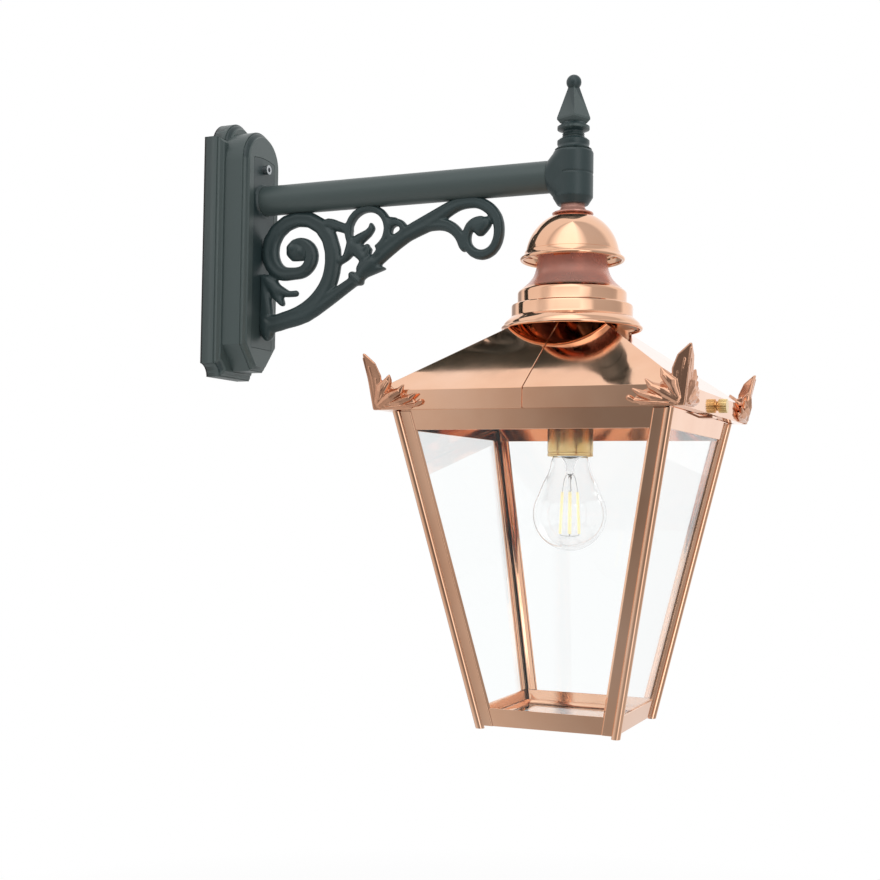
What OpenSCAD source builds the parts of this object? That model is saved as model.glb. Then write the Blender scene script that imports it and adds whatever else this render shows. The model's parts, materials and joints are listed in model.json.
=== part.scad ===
// Outdoor wall light: a four-sided copper lantern hanging from a cast wall
// bracket with a scrolled casting under its arm.
// Origin: in the wall plane, midway between the two wall screws. +Z is up,
// the arm reaches out along -Y, and X runs along the wall.

/* [Wall plate] */
// Width of the base tier, against the wall
plate_w = 73; // [71:1:78]
// Height of the base tier's shoulders above the wall screws' middle
plate_shoulder = 101; // [98:1:104]
// Depth of the plate's foot below the wall screws' middle
plate_foot = 115.5; // [113:0.5:120]
// Half width of the base tier's arched top
plate_arch = 24.6; // [22:0.2:27]
// Thickness of the base tier
base_tier_d = 18; // [16:1:20]
// Thickness of the whole plate
plate_d = 41; // [38:1:46]
// Width of the raised face
face_w = 50; // [48:1:53]
// Height of the raised face's arch centre above the wall screws' middle
face_arch_z = 80; // [78:1:84]
// Size of the moulded edges
moulding = 5; // [3:0.5:6]
// Wall of the casting
plate_wall = 4; // [3:0.5:4.5]
// Distance between the two wall screws
wall_screw_gap = 120; // [110:2:140]
// Diameter of the wall screw holes
wall_screw_d = 6.5; // [5:0.5:8]
// Thickness of the gasket round the plate's back
gasket_t = 1.5; // [1:0.5:2.5]

/* [Arm] */
// Distance from the wall to the lantern's axis
arm_reach = 336; // [320:2:360]
// Height of the arm's centre line above the wall screws' middle
arm_z = 46.5; // [44:0.5:50]
// Outer diameter of the arm tube
arm_od = 27; // [26:0.5:28]
// Wall of the arm tube
arm_wall = 3; // [2:0.5:4]
// Width of the arm's flush plate
arm_plate_w = 36; // [34:1:38]
// Thickness of the arm's flush plate
arm_plate_t = 3.5; // [3:0.5:4.5]
// Reach of the scroll casting from the plate
scroll_l = 234.6; // [225:0.2:245]
// Thickness of the scroll casting across the arm
scroll_t = 10; // [8:0.5:12]
// Diameter of the plate screw's thread
plate_screw_d = 5; // [4:0.5:6]

/* [Hub and finial] */
// Diameter of the hub at the arm's end
hub_d = 33; // [32:0.5:36]
// Height of the hub above the arm's centre line
hub_above = 20; // [18:0.5:24]
// Depth of the hub's drum below the arm's centre line
hub_below = 19.2; // [18:0.2:22]
// Height of the finial over the hub
finial_h = 64; // [58:0.5:70]
// Turn of the square finial about its axis
finial_turn = 20; // [0:5:85]

/* [Lantern head] */
// Height from the chimney's skirt up to the arm's centre line
hood_h = 128.2; // [124:0.2:138]
// How far the square eave stands out past the cage
eave_over = 12.5; // [11:0.5:16]
// Height of the upright fascia round the eave
fascia_h = 15.5; // [13:0.5:18]
// Slope of the four roof faces, in degrees
roof_pitch = 35; // [33:0.5:37]
// Thickness of the copper sheet
sheet = 1; // [0.8:0.1:1.4]
// Width of the roof's open top
crown_w = 60; // [52:1:66]
// Height of a corner leaf
leaf_h = 43.5; // [40:0.5:48]
// Radius of the chimney's skirt
skirt_r = 58.2; // [56:0.2:60]
// Radius of the chimney's drum
drum_r = 29.9; // [28:0.2:31]
// Radius of the dome
dome_r = 38.7; // [37:0.1:41]
// Outer diameter of the hollow threaded stem
stem_d = 13; // [12:0.5:14]

/* [Lamp] */
// Diameter of the lampholder
holder_d = 37.4; // [36:0.2:40]
// Depth of the lampholder's mouth below the eave line
holder_drop = 31.9; // [28:0.5:36]
// Diameter of the bulb
bulb_d = 60; // [55:1:60]
// Depth of the bulb's centre below the eave line
bulb_drop = 79; // [78:0.5:84]

/* [Cage] */
// Width of the glazed cage at the eave line
cage_top_w = 215; // [211:1:218]
// Width of the glazed cage at its foot
cage_foot_w = 111.4; // [104:1:120]
// Height of the glazed cage below the eave line
cage_h = 246.5; // [236:1:256]
// Visible depth of the top rails
top_rail_h = 14.8; // [13:0.2:18]
// Depth of the foot rails
foot_rail_h = 14.3; // [12:0.2:18]
// Width of a corner post's leg
post_leg = 12; // [9:0.5:14]
// Diameter of the half-round bead along a corner post
bead_d = 7; // [5:0.5:8]
// Thickness of the glass
glass_t = 3; // [2:0.5:4]

/* [Hinge and thumb screw] */
// Length of the hinge
hinge_l = 60; // [45:1:80]
// Diameter of the hinge pin
hinge_pin_d = 3; // [2.5:0.1:3.4]
// Diameter of the thumb screw's knurled head
thumb_d = 11; // [10:0.5:12.5]
// Length of the thumb screw's head
thumb_l = 6.5; // [5:0.5:9]
// Number of knurls round the thumb screw
knurls = 24; // [16:2:30]

/* [Hidden] */

$fn = 64;
e = 0.01;
COPPER = "#c98f72";
PAINT = "#3f4a4b";
BRASS = "#c9a24a";
GLASS = [0.85, 0.92, 0.92, 0.35];
STEEL = "#b9bcbd";

// Wall plate: raised tier, arm plate recess and back webs
base_body_d = base_tier_d - moulding;
face_body_d = plate_d - moulding;
face_r = face_w / 2;
face_foot = plate_foot - 10.9;
face_cut = 11.6;
cove_r = 11.5;
front_wall = 2 * arm_plate_t;
plate_gap = 0.3;
recess_top = face_arch_z + 6;
recess_foot = face_foot - 15.6;
recess_sag = 2;
ledge = 4;
window_top = recess_top - 20;
web_t = 6;
web_h = 20;
block_w = 30;
block_d = 15;
block_h = 17;
plate_screw_z = face_arch_z - 4.5;
boss_r = plate_screw_d / 2 + 3.5;
boss_l = 8;
hook_h = 4;
tube_root = 2.5;

// Hub: flare towards the arm, bores for the stem, the lead and the finial
hub_r = hub_d / 2;
flare_start = hub_r + 3.8;
hub_chamfer = 6.1;
hub_neck_r = 12.6;
hub_round = 1.8;
spigot_l = 15;
arm_ir = arm_od / 2 - arm_wall;
lead_way_r = 7.5;
stud_r = 4;
stud_l = 10;
stem_r = stem_d / 2;
stem_bore = stem_r - 2;

// Head: heights above the eave line
eave_w = cage_top_w + 2 * eave_over;
roof_rise = tan(roof_pitch);
crown_z = fascia_h + roof_rise * (eave_w - crown_w) / 2;
skirt_bead = 1.4;
skirt_edge = skirt_r - skirt_bead;
hip_rise = roof_rise / sqrt(2);
skirt_on_hips = fascia_h + roof_rise * eave_w / 2 - hip_rise * skirt_edge;
skirt_z = skirt_on_hips + skirt_bead * norm([1, hip_rise]) + 0.03;
head_h = skirt_z + hood_h;
stem_top = head_h - 12;
collar_top = head_h - hub_below - hub_chamfer;
collar_neck_h = 6.3;
collar_flange_h = 1.6;
collar_neck_r = 9.8;
collar_flange_r = 17.2;
dome_top = collar_top - collar_neck_h - collar_flange_h;
dome_flat_r = 13.5;
dome_c = dome_top - sqrt(dome_r * dome_r - dome_flat_r * dome_flat_r);
rim_out = 4.4;
rim_drop = 8.4;
rim_bead_r = 1.6;
drum_gap = 20;
drum_top = dome_top - drum_gap;
bridge_below = 8;
bridge_z = drum_top - bridge_below;
bridge_t = 2;
bridge_w = 14;
bridge_leg = 10;
bridge_fold = 3.4;
spacer_r = stem_r + 2;
crown_t = 1.5;
crown_lap = 1.5;
flange = 4;
lip_w = 8;
tab_w = 16;
nut_h = 6;
nut_r = stem_r + 4.5;

// Lamp
holder_r = holder_d / 2;
holder_top = 16;
holder_cap_h = 10;
stem_end = holder_top - holder_cap_h;
locknut_h = 4;
skin = 1.2;
insert_top = -2.4;
insert_lip = 3;
cap_r = 13.1;
neck_r = 12.4;
cap_top = insert_top - 3.6;
cap_h = 26;
bulb_wall = 0.8;

// Cage: face planes, mitres and hinge
cage_run = (cage_top_w - cage_foot_w) / 2;
cage_slope = cage_run / cage_h;
cage_lean = atan(cage_slope);
frame_up = 4;
rail_lip = 6;
channel = glass_t + 0.3;
shelf = 13;
foot_drop = 2.4;
corner_gap = 1.2;
hinge_y = cage_top_w / 2 + 4.5;
barrel_r = hinge_pin_d / 2 + 1.6;
hinge_z = -barrel_r;
knuckle_gap = 0.4;
pin_play = 0.05;
leaf_t = 1.5;
leg_t = 1;
screw_z = fascia_h / 2;
thumb_shank_r = 2;
thumb_collar = 1.5;
lug_t = 1.5;
lug_gap = 1;
lug_w = 16;
spring_gap = 0.5;
spring_t = 0.8;
spring_w = 9;
clamp_nut_t = 4;
clamp_face = sheet + lug_gap + lug_t + spring_gap;

// Route of the lead inside the arm: [distance from the wall, height]
LEAD_D = 6;
lead_from = 70;
lead_to = arm_reach - 20;
LEAD_ROUTE = concat(
    [[web_t + block_d / 2, block_h / 2], [13.6, 14], [14.6, 21], [18, arm_z - 15.5], [24, arm_z - 8]],
    [[32, arm_z - 3], [42, arm_z - 0.6], [54, arm_z]],
    [for (i = [0:15]) [lead_from + (lead_to - lead_from) * i / 15, arm_z]],
    [for (k = [[-12, -0.6], [-7, -2.6], [-3, -6.4], [-0.8, -11], [0, -17]])
        [arm_reach + k[0], arm_z + k[1]]],
    [for (i = [1:12]) [arm_reach, arm_z - 17 - (head_h - insert_top - 17) * i / 12]]
);

// General functions and shapes

function unit(v) = v / norm(v);
function arc(c, r, a0, a1, n) = [for (i = [0:n]) let (a = a0 + (a1 - a0) * i / n) c + r * [cos(a), sin(a)]];

// A smooth run of points through knots of any size, n points to a span
function blend(a, b, c, d, t) =
    (2 * b + (c - a) * t + (2 * a - 5 * b + 4 * c - d) * t * t + (3 * b - a - 3 * c + d) * t * t * t) / 2;
function smooth(k, n) = concat(
    [for (i = [0:len(k) - 2]) for (j = [0:n - 1])
        blend(k[max(i - 1, 0)], k[i], k[i + 1], k[min(i + 2, len(k) - 1)], j / n)],
    [k[len(k) - 1]]);

// A sweep in the plane X = 0: path of [y, z], and for each point a closed section of [across, x]
function course(p, i) = unit(p[min(i + 1, len(p) - 1)] - p[max(i - 1, 0)]);
module planar_sweep(path, sections) {
    m = len(sections[0]);
    last = len(path) - 1;
    points = [for (i = [0:last]) let (t = course(path, i)) for (s = sections[i])
        [s[1], path[i][0] - t[1] * s[0], path[i][1] + t[0] * s[0]]];
    sides = [for (i = [0:last - 1]) for (j = [0:m - 1])
        [(i + 1) * m + j, (i + 1) * m + (j + 1) % m, i * m + (j + 1) % m, i * m + j]];
    cap_a = [[for (j = [0:m - 1]) j]];
    cap_b = [[for (j = [0:m - 1]) last * m + m - 1 - j]];
    polyhedron(points, concat(sides, cap_a, cap_b));
}

module hex_nut(r, h, bore) {
    difference() {
        cylinder(r = r, h = h, $fn = 6);
        translate([0, 0, -1]) cylinder(r = bore, h = h + 2);
    }
}

// A thin sleeve's or a washer's ring
module ring(r, bore, h) {
    difference() {
        cylinder(r = r, h = h);
        translate([0, 0, -1]) cylinder(r = bore, h = h + 2);
    }
}

// Everything that hangs on the lantern's axis, with the eave line at height 0
module at_lantern() {
    translate([0, -arm_reach, arm_z - head_h]) children();
}

// Wall plate

// Lays a shape drawn in X and Z with its height out from the wall
module towards_room(start) {
    translate([0, -start, 0]) rotate([90, 0, 0]) children();
}

// Moulded edge: [set back, height] from the top of a tier's upright side
MOULD = [for (k = [[0.2, 0], [0.24, 0.2], [0.4, 0.42], [0.66, 0.58], [0.9, 0.74], [1, 1]]) moulding * k];

// Everything beyond a moulded edge that runs past [x, z], facing the direction turn
module beyond(x, z, turn, h) {
    translate([x, z, 0]) rotate([0, 0, turn]) translate([0, 200, 0]) rotate([90, 0, 0]) linear_extrude(400)
        polygon(concat([[60, -5], [0, -5], [0, h]], [for (k = MOULD) [-k[0], h + k[1]]],
            [[-moulding, h + moulding + 1], [60, h + moulding + 1]]));
}
module moulded_disc(r, h) {
    rotate_extrude() polygon(concat([[0, 0], [r, 0], [r, h]], [for (k = MOULD) [r - k[0], h + k[1]]],
        [[0, h + moulding]]));
}

module base_tier() {
    h = base_body_d - gasket_t;
    half = plate_w / 2;
    difference() {
        union() {
            difference() {
                translate([-half, -plate_foot, 0])
                    cube([plate_w, plate_foot + plate_shoulder, h + moulding]);
                beyond(half, 0, 0, h);
                beyond(-half, 0, 180, h);
                beyond(0, plate_shoulder, 90, h);
                beyond(0, -plate_foot, 270, h);
            }
            translate([0, plate_shoulder - 5.7, 0]) moulded_disc(plate_arch, h);
        }
        for (side = [-1, 1]) translate([side * (half + 1), -plate_foot, 0]) rotate_extrude() polygon(concat(
            [[0, -1], [cove_r, -1], [cove_r, h]], [for (k = MOULD) [cove_r + k[0], h + k[1]]],
            [[cove_r + moulding, h + moulding + 1], [0, h + moulding + 1]]));
    }
}

module raised_tier() {
    h = face_body_d - base_tier_d + moulding;
    half = face_r + moulding;
    foot = face_foot + moulding;
    difference() {
        translate([-half, -foot, 0]) cube([2 * half, foot + face_arch_z, h + moulding]);
        beyond(half, 0, 0, h);
        beyond(-half, 0, 180, h);
        beyond(0, -foot, 270, h);
        for (side = [-1, 1])
            beyond(side * (face_r - 5), -face_foot + 5.8, 270 + side * 49, h);
    }
    translate([0, face_arch_z, 0]) moulded_disc(half, h);
}

module recess_outline(gap) {
    half = arm_plate_w / 2 - gap;
    top = recess_top - gap;
    sag_r = (half * half + recess_sag * recess_sag) / (2 * recess_sag);
    intersection() {
        translate([-half, gap - recess_foot]) square([2 * half, top + recess_foot - gap]);
        union() {
            translate([0, top - sag_r]) circle(r = sag_r, $fn = 256);
            translate([-2 * half, -2 * recess_foot]) square([4 * half, 2 * recess_foot + top - sag_r]);
        }
    }
}

module wall_plate() {
    half_in = plate_w / 2 - plate_wall;
    face_in = face_r - plate_wall;
    window_w = arm_plate_w - 2 * ledge;
    color(PAINT) difference() {
        union() {
            difference() {
                union() {
                    towards_room(gasket_t) base_tier();
                    towards_room(base_body_d) raised_tier();
                }
                translate([-half_in, plate_wall - base_tier_d, 16 - plate_foot])
                    cube([2 * half_in, base_tier_d, plate_shoulder + plate_foot - 16 - plate_wall]);
                translate([-face_in, front_wall - plate_d, face_cut + 4 - face_foot])
                    cube([2 * face_in, plate_d, face_arch_z + 10 + face_foot - face_cut - 4]);
            }
            for (side = [-1, 1])
                translate([0, -web_t, side * wall_screw_gap / 2 - web_h / 2]) {
                    translate([-half_in - 1, 0, 0]) cube([2 * half_in + 2, web_t - gasket_t, web_h]);
                    translate([0.5 - half_in, 0, 0]) cube([2 * half_in - 1, web_t, web_h]);
                }
            translate([-half_in - 1, -web_t, -block_h / 2])
                cube([2 * half_in + 2, web_t - gasket_t, block_h]);
            translate([0, -plate_d + arm_plate_t, plate_screw_z]) rotate([-90, 0, 0])
                cylinder(r = boss_r, h = front_wall - arm_plate_t + boss_l);
        }
        towards_room(plate_d - arm_plate_t) linear_extrude(arm_plate_t + 1) recess_outline(0);
        translate([-window_w / 2, -plate_d - 1, ledge * 2 - recess_foot])
            cube([window_w, front_wall + 2, window_top + recess_foot - ledge * 2]);
        for (side = [-1, 1])
            translate([0, 1, side * wall_screw_gap / 2]) rotate([90, 0, 0])
                cylinder(d = wall_screw_d, h = web_t + 2);
        translate([0, -plate_d - 1, plate_screw_z]) rotate([-90, 0, 0])
            cylinder(d = plate_screw_d, h = front_wall + boss_l + 2);
    }
}

module wall_gasket() {
    half = plate_w / 2;
    color("#2b2b2b") towards_room(0) linear_extrude(gasket_t) difference() {
        union() {
            translate([-half, -plate_foot]) square([plate_w, plate_foot + plate_shoulder]);
            translate([0, plate_shoulder - 5.7]) circle(r = plate_arch);
        }
        for (side = [-1, 1]) translate([side * (half + 1), -plate_foot]) circle(r = cove_r);
        translate([plate_wall - half, 16 - plate_foot])
            square([plate_w - 2 * plate_wall, plate_shoulder + plate_foot - 16 - plate_wall]);
    }
}

module terminal_block() {
    color("white") difference() {
        translate([-block_w / 2, -web_t - block_d, -block_h / 2]) cube([block_w, block_d, block_h]);
        for (way = [-1:1]) {
            translate([way * 9, -web_t - block_d - 1, 0]) rotate([-90, 0, 0]) cylinder(r = 2.2, h = 8);
            translate([way * 9, -web_t - 10.5, -block_h / 2 - 1]) cylinder(r = 1.9, h = 8);
        }
    }
}

// Arm

module arm_plate() {
    hook_w = arm_plate_w - 2 * ledge - 2;
    foot_edge = recess_foot - 2 * ledge;
    color(PAINT) difference() {
        union() {
            towards_room(plate_d - arm_plate_t) linear_extrude(arm_plate_t) recess_outline(plate_gap);
            translate([-hook_w / 2, -plate_d + arm_plate_t - e, plate_gap - foot_edge])
                cube([hook_w, front_wall - arm_plate_t + 3, hook_h]);
            translate([-hook_w / 2, -plate_d + front_wall, plate_gap - foot_edge - 5])
                cube([hook_w, 3, hook_h + 5]);
            translate([0, -plate_d, arm_z]) rotate([90, 0, 0])
                cylinder(r1 = arm_od / 2 + tube_root, r2 = arm_od / 2 + 0.6, h = tube_root);
        }
        translate([0, -plate_d - tube_root - 1, arm_z]) rotate([-90, 0, 0])
            cylinder(d = arm_od, h = tube_root + arm_plate_t + 2);
        translate([0, -plate_d - 1, plate_screw_z]) rotate([-90, 0, 0])
            cylinder(d = plate_screw_d, h = arm_plate_t + 2);
    }
}

module arm_plate_screw() {
    head_r = plate_screw_d * 0.85;
    translate([0, -plate_d, plate_screw_z]) color(STEEL) difference() {
        union() {
            rotate([90, 0, 0]) cylinder(r = head_r, h = plate_screw_d);
            rotate([-90, 0, 0]) cylinder(d = plate_screw_d, h = front_wall + boss_l - 1);
        }
        translate([0, -plate_screw_d / 2, 0]) rotate([90, 0, 0])
            cylinder(r = plate_screw_d * 0.46, h = plate_screw_d, $fn = 6);
    }
}

module arm_tube() {
    start = plate_d - arm_plate_t;
    color(PAINT) translate([0, -start, arm_z]) rotate([90, 0, 0])
        ring(arm_od / 2, arm_ir, arm_reach - flare_start - start);
}

// Scroll casting, drawn by [distance from the plate, height over the arm's underside, half width]

// Section of a stroke: a rounded bar with a groove between two ribs on each face
function stroke_section(w) = let (t = scroll_t / 2) [
    [-w, -t * 0.4], [-w * 0.66, -t * 0.94], [-w * 0.12, -t * 0.8], [w * 0.4, -t], [w, -t * 0.4],
    [w, t * 0.4], [w * 0.4, t], [-w * 0.12, t * 0.8], [-w * 0.66, t * 0.94], [-w, t * 0.4]];
module stroke(knots, n) {
    run = smooth(knots, n);
    planar_sweep([for (k = run) [-k[0], k[1]]], [for (k = run) stroke_section(k[2])]);
}

// A spiral's knots of [angle, radius, half width] about a centre
function turned(c, polar) = [for (k = polar) [c[0] + k[1] * cos(k[0]), c[1] + k[1] * sin(k[0]), k[2]]];

// A lobe of leaf or a knob: balls of [distance, height, radius] drawn together, t thick
module lobe(balls, t) {
    hull() for (b = balls)
        translate([0, -b[0], b[1]]) scale([t / (2 * b[2]), 1, 1]) sphere(r = b[2], $fn = 8);
}

module scroll_bracket() {
    size = scroll_l / 234.6;
    eye = [36, -36];
    ring_c = [107, -20];
    loop_c = [134.5, -22.5];
    curl_c = [215.5, -31];
    great_scroll = smooth([
        [-122, 73, 8], [-108, 66, 7.7], [-98, 60.5, 7.8], [-76, 53.6, 8.8], [-46, 44.6, 7.8], [0, 36.2, 7.5],
        [90, 30.8, 6.8], [174, 28.3, 8.6], [222, 24.2, 6.9], [258, 19, 5.4], [299, 18.4, 5.5],
        [349, 15.6, 6], [410, 11.8, 3.8], [450, 10.4, 2.6], [490, 9.4, 1.6]], 4);
    color(PAINT) translate([0, -plate_d, arm_z - arm_od / 2]) difference() {
        scale([1, size, size]) union() {
            stroke(turned(eye, great_scroll), 1);
            // Main stem, up through the collar and out to the end scroll
            stroke([[33, -94, 6], [45, -93, 6.5], [65, -82, 6], [85, -70, 5], [97, -62.5, 4.7],
                [107, -55, 5], [117, -46, 6.4], [127, -37.5, 7], [145, -26, 6.6],
                [163, -18.2, 7.4], [175, -12, 6.8],
                [184, -7, 6], [194, -3, 5.4], [205, -2.4, 4.8], [213, -3.8, 4.8], [221.5, -9, 4.9],
                [228, -17, 4.6], [230.3, -27, 4.3], [229, -37, 4.2], [224, -45, 4.2], [215.5, -48.4, 4.2],
                [207, -45.6, 4], [201.5, -38.5, 3.6], [201.2, -30, 3.6], [204.2, -23.2, 4],
                [209.6, -19.6, 4], [216, -18.6, 3.6]], 2);
            // Leaf-ended branch that springs back under the end scroll
            stroke([[163, -20, 5], [175, -19.5, 5], [184, -21.5, 5], [191, -26.5, 4.6], [195.5, -33, 4.2],
                [197.8, -40, 3.6], [200, -43.6, 2.4]], 2);
            // Middle ring and the small loop beside it
            stroke(turned(ring_c, [for (a = [-62:16:210]) [a, 19.4, 3.2]]), 1);
            stroke(turned(loop_c, [for (a = [-70:20:270]) [a, 7.6, 3]]), 1);
            // Link between the great scroll and the ring
            stroke([[64, -12, 3.5], [70, -11.5, 4.2], [77, -14.5, 4.4], [84, -17, 4], [90, -21, 3]], 2);
            lobe([[67, -9.5, 3], [74, -13.5, 3]], 8);
            lobe([[127, -12.5, 3], [133, -13.6, 3.4]], 8);
            // Eyes of the scrolls
            lobe([[34.4, -33.4, 10.6], [40, -35.6, 8.4]], scroll_t);
            lobe([[30.6, -32, 5.4]], scroll_t + 4);
            lobe([[39.4, -35.6, 4.8]], scroll_t + 3);
            lobe([[209.6, -23, 5], [213.4, -25.6, 7], [218.6, -21, 5.4]], scroll_t + 2);
            // Collar and bud
            lobe([[92.3, -59.2, 3.6], [99.6, -65.4, 3.6]], scroll_t + 4);
            lobe([[104, -58, 4.5], [113, -54, 3.6], [123.6, -54.8, 0.9]], 9);
            lobe([[99, -54, 3.4], [105, -45, 3.8], [109.5, -36.5, 1.2]], 9);
            lobe([[103, -57, 6], [111, -50.5, 8.2]], scroll_t + 3);
            // Leaf inside the ring
            lobe([[103, -45.5, 3.6], [96.5, -36, 6.6], [91, -33, 6]], 11);
            lobe([[91, -34, 6], [87, -41.5, 4]], 10);
            lobe([[86.6, -42, 4], [80.6, -46.4, 2.7]], 8);
            lobe([[96, -29.5, 6], [106, -23.4, 4]], 10);
            lobe([[106.5, -23.4, 4], [110.8, -18.6, 3]], 9);
            lobe([[110.8, -18.6, 3], [109.8, -14.6, 1.4]], 7);
            lobe([[103, -37.5, 3.4], [106.4, -34.4, 2.6]], 8);
            // Leaf springing from the backbone, and the foot
            lobe([[5, -59, 5], [12, -64, 6], [16, -70, 6]], 11);
            lobe([[16, -68.5, 5.6], [28, -73, 2.8]], 9);
            lobe([[28, -73, 2.8], [35.6, -72.8, 3]], 7);
            lobe([[15, -72, 5.6], [21.6, -81.6, 2.4]], 9);
            lobe([[2, -58, 5], [2, -98, 7.5], [8, -88, 4]], scroll_t);
            lobe([[4, -99, 8], [8, -101, 7], [7, -109, 6]], scroll_t + 2);
        }
        translate([-scroll_t, 0, -scroll_l]) cube([2 * scroll_t, scroll_l, 2 * scroll_l]);
        translate([0, scroll_l, arm_od / 2]) rotate([90, 0, 0])
            cylinder(d = arm_od + 0.04, h = 3 * scroll_l);
    }
}

// Hub and finial

module arm_hub() {
    groove_z = 0.3;
    groove = 1.3;
    translate([0, -arm_reach, arm_z]) color(PAINT) difference() {
        union() {
            translate([0, 0, -hub_below]) cylinder(r = hub_r, h = hub_above + hub_below - hub_round);
            translate([0, 0, hub_above - hub_round - e])
                cylinder(r1 = hub_r, r2 = hub_r - hub_round, h = hub_round + e);
            translate([0, 0, -hub_below - hub_chamfer])
                cylinder(r1 = hub_neck_r, r2 = hub_r, h = hub_chamfer + e);
            // Flare that draws the drum out to the arm's round
            hull() {
                translate([0, 0, 1 - hub_below])
                    cylinder(r = hub_r - 0.1, h = hub_above + hub_below - hub_round - 1.2, $fn = 48);
                translate([0, flare_start - 1, 0]) rotate([-90, 0, 0]) cylinder(d = arm_od, h = 1, $fn = 48);
            }
            rotate([-90, 0, 0]) cylinder(r = arm_ir, h = flare_start + spigot_l);
        }
        intersection() {
            rotate_extrude() polygon([[hub_r - groove, groove_z], [hub_r + 1, groove_z + groove + 1],
                [hub_r + 1, groove_z - groove - 1]]);
            translate([-hub_d, -hub_d, -5]) cube([2 * hub_d, hub_d + 0.2 * hub_r, 10]);
        }
        rotate([-90, 0, 0]) cylinder(r = lead_way_r, h = flare_start + spigot_l + 1);
        translate([0, 0, -lead_way_r - 1]) cylinder(r = hub_neck_r - 2.5, h = 2 * lead_way_r + 2);
        translate([0, 0, -hub_below - hub_chamfer - 1]) cylinder(r = stem_r, h = hub_below + hub_chamfer);
        translate([0, 0, hub_above - stud_l]) cylinder(r = stud_r, h = stud_l + 1);
    }
}

module finial() {
    top = arm_z + hub_above;
    disc_r = 13;
    square_r = 13.4;
    ball_r = 6.1;
    translate([0, -arm_reach, top]) color(PAINT) {
        translate([0, 0, -stud_l]) cylinder(r = stud_r, h = stud_l + 1);
        scale(finial_h / 62.3) {
            rotate_extrude() polygon(concat(
                [[0, 0], [13.9, 0]],
                arc([16.1, 4.4], 3.6, 250, 180, 4),
                [[disc_r, 5.4], [disc_r, 8], [11.4, 9.4], [8.6, 10], [8.2, 11.4], [9, 12], [8.2, 12.8]],
                [[9, 13.6], [8.2, 14.4], [8.6, 15.6], [disc_r, 17.4], [disc_r, 19.6]],
                [[10.4, 21.2], [9.4, 22.6], [0, 22.6]]));
            translate([0, 0, 20]) cylinder(r = 6, h = 10);
            rotate([0, 0, finial_turn]) {
                translate([0, 0, 22.6 - e]) cylinder(r1 = 10.6, r2 = square_r, h = 3.2, $fn = 4);
                translate([0, 0, 25.8 - 2 * e]) cylinder(r = square_r, h = 1.6 + 3 * e, $fn = 4);
                translate([0, 0, 27.4]) cylinder(r1 = square_r, r2 = 4.6, h = 24.6, $fn = 4);
            }
            translate([0, 0, 56.2]) sphere(r = ball_r);
        }
    }
}

// Lantern head

module neck_collar() {
    at_lantern() translate([0, 0, dome_top]) color(COPPER) rotate_extrude() polygon([
        [stem_r, 0], [collar_flange_r - 0.8, 0], [collar_flange_r, 0.6],
        [collar_flange_r - 0.6, collar_flange_h],
        [collar_neck_r + 1.6, collar_flange_h + 0.6], [collar_neck_r, collar_flange_h + 2.4],
        [collar_neck_r, collar_flange_h + collar_neck_h], [stem_r, collar_flange_h + collar_neck_h]]);
}

// Dome and chimney are spun shells: outer profile down, inner profile back up
module spun_shell(profile) {
    last = len(profile) - 1;
    inner = [for (i = [last:-1:0]) let (t = course(profile, i)) profile[i] + sheet * [t[1], -t[0]]];
    rotate_extrude() polygon(concat(profile, inner));
}

module dome_cap() {
    side_r = dome_r * cos(10.5);
    side_z = dome_c + dome_r * sin(10.5);
    dome = arc([0, dome_c], dome_r, acos(dome_flat_r / dome_r), 10.5, 14);
    flare = [for (i = [1:6]) let (s = i / 6) [side_r + 1.3 * min(1, 4 * s) + (rim_out - 1.3) * pow(s, 1.4),
        side_z - 0.5 - (rim_drop - 0.5) * s]];
    lip = flare[5];
    at_lantern() color(COPPER) {
        spun_shell(concat(dome, flare));
        translate([0, 0, dome_top - sheet]) ring(dome_flat_r, stem_r, sheet);
        rotate_extrude() translate([lip[0] - rim_bead_r / 2, lip[1]]) circle(r = rim_bead_r, $fn = 24);
    }
}

module chimney() {
    tall = drum_top - skirt_z;
    up = tall / 75;
    step_1 = skirt_r * 0.773;
    step_2 = skirt_r * 0.859;
    at_lantern() translate([0, 0, skirt_z]) color(COPPER) {
        spun_shell(concat(
            [[drum_r, tall], [drum_r, 48.6 * up], [drum_r + 0.6, 43.6 * up], [drum_r + 2.6, 39.1 * up]],
            [[drum_r + 6, 35.2 * up], [step_1 - 4.6, 31.6 * up], [step_1 - 1, 29 * up]],
            [[step_1, 27.2 * up], [step_1, 20.2 * up], [step_1 + 1.2, 19 * up], [step_2 - 1, 18.2 * up]],
            [[step_2, 16.4 * up], [step_2, 9.2 * up], [step_2 + 0.8, 8 * up]],
            [for (i = [1:5]) let (s = i / 5)
                [step_2 + 0.8 + (skirt_edge - step_2 - 0.8) * s, 8 * up - (8 * up - 1) * pow(s, 0.7)]]));
        rotate_extrude() translate([skirt_edge, 0]) circle(r = skirt_bead, $fn = 24);
    }
}

module stem_tube() {
    at_lantern() translate([0, 0, stem_end]) color(STEEL) ring(stem_r, stem_bore, stem_top - stem_end);
}

module upper_spacer() {
    start = bridge_z + bridge_t;
    at_lantern() translate([0, 0, start]) color(STEEL) ring(spacer_r, stem_r, dome_top - sheet - start);
}

// Strap across the chimney's drum, with turned-down ends riveted to it
module chimney_bridge() {
    at_lantern() translate([0, 0, bridge_z]) color(COPPER) difference() {
        intersection() {
            cylinder(r = drum_r - sheet, h = 4 * bridge_leg, center = true);
            union() {
                translate([-drum_r, -bridge_w / 2, 0]) cube([2 * drum_r, bridge_w, bridge_t]);
                for (side = [0, 1]) mirror([side, 0, 0])
                    translate([drum_r - sheet - bridge_fold, -bridge_w / 2, -bridge_leg])
                        cube([2 * bridge_fold, bridge_w, bridge_leg + e]);
            }
        }
        translate([0, 0, -1]) cylinder(r = stem_r, h = bridge_t + 2);
    }
}

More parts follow.
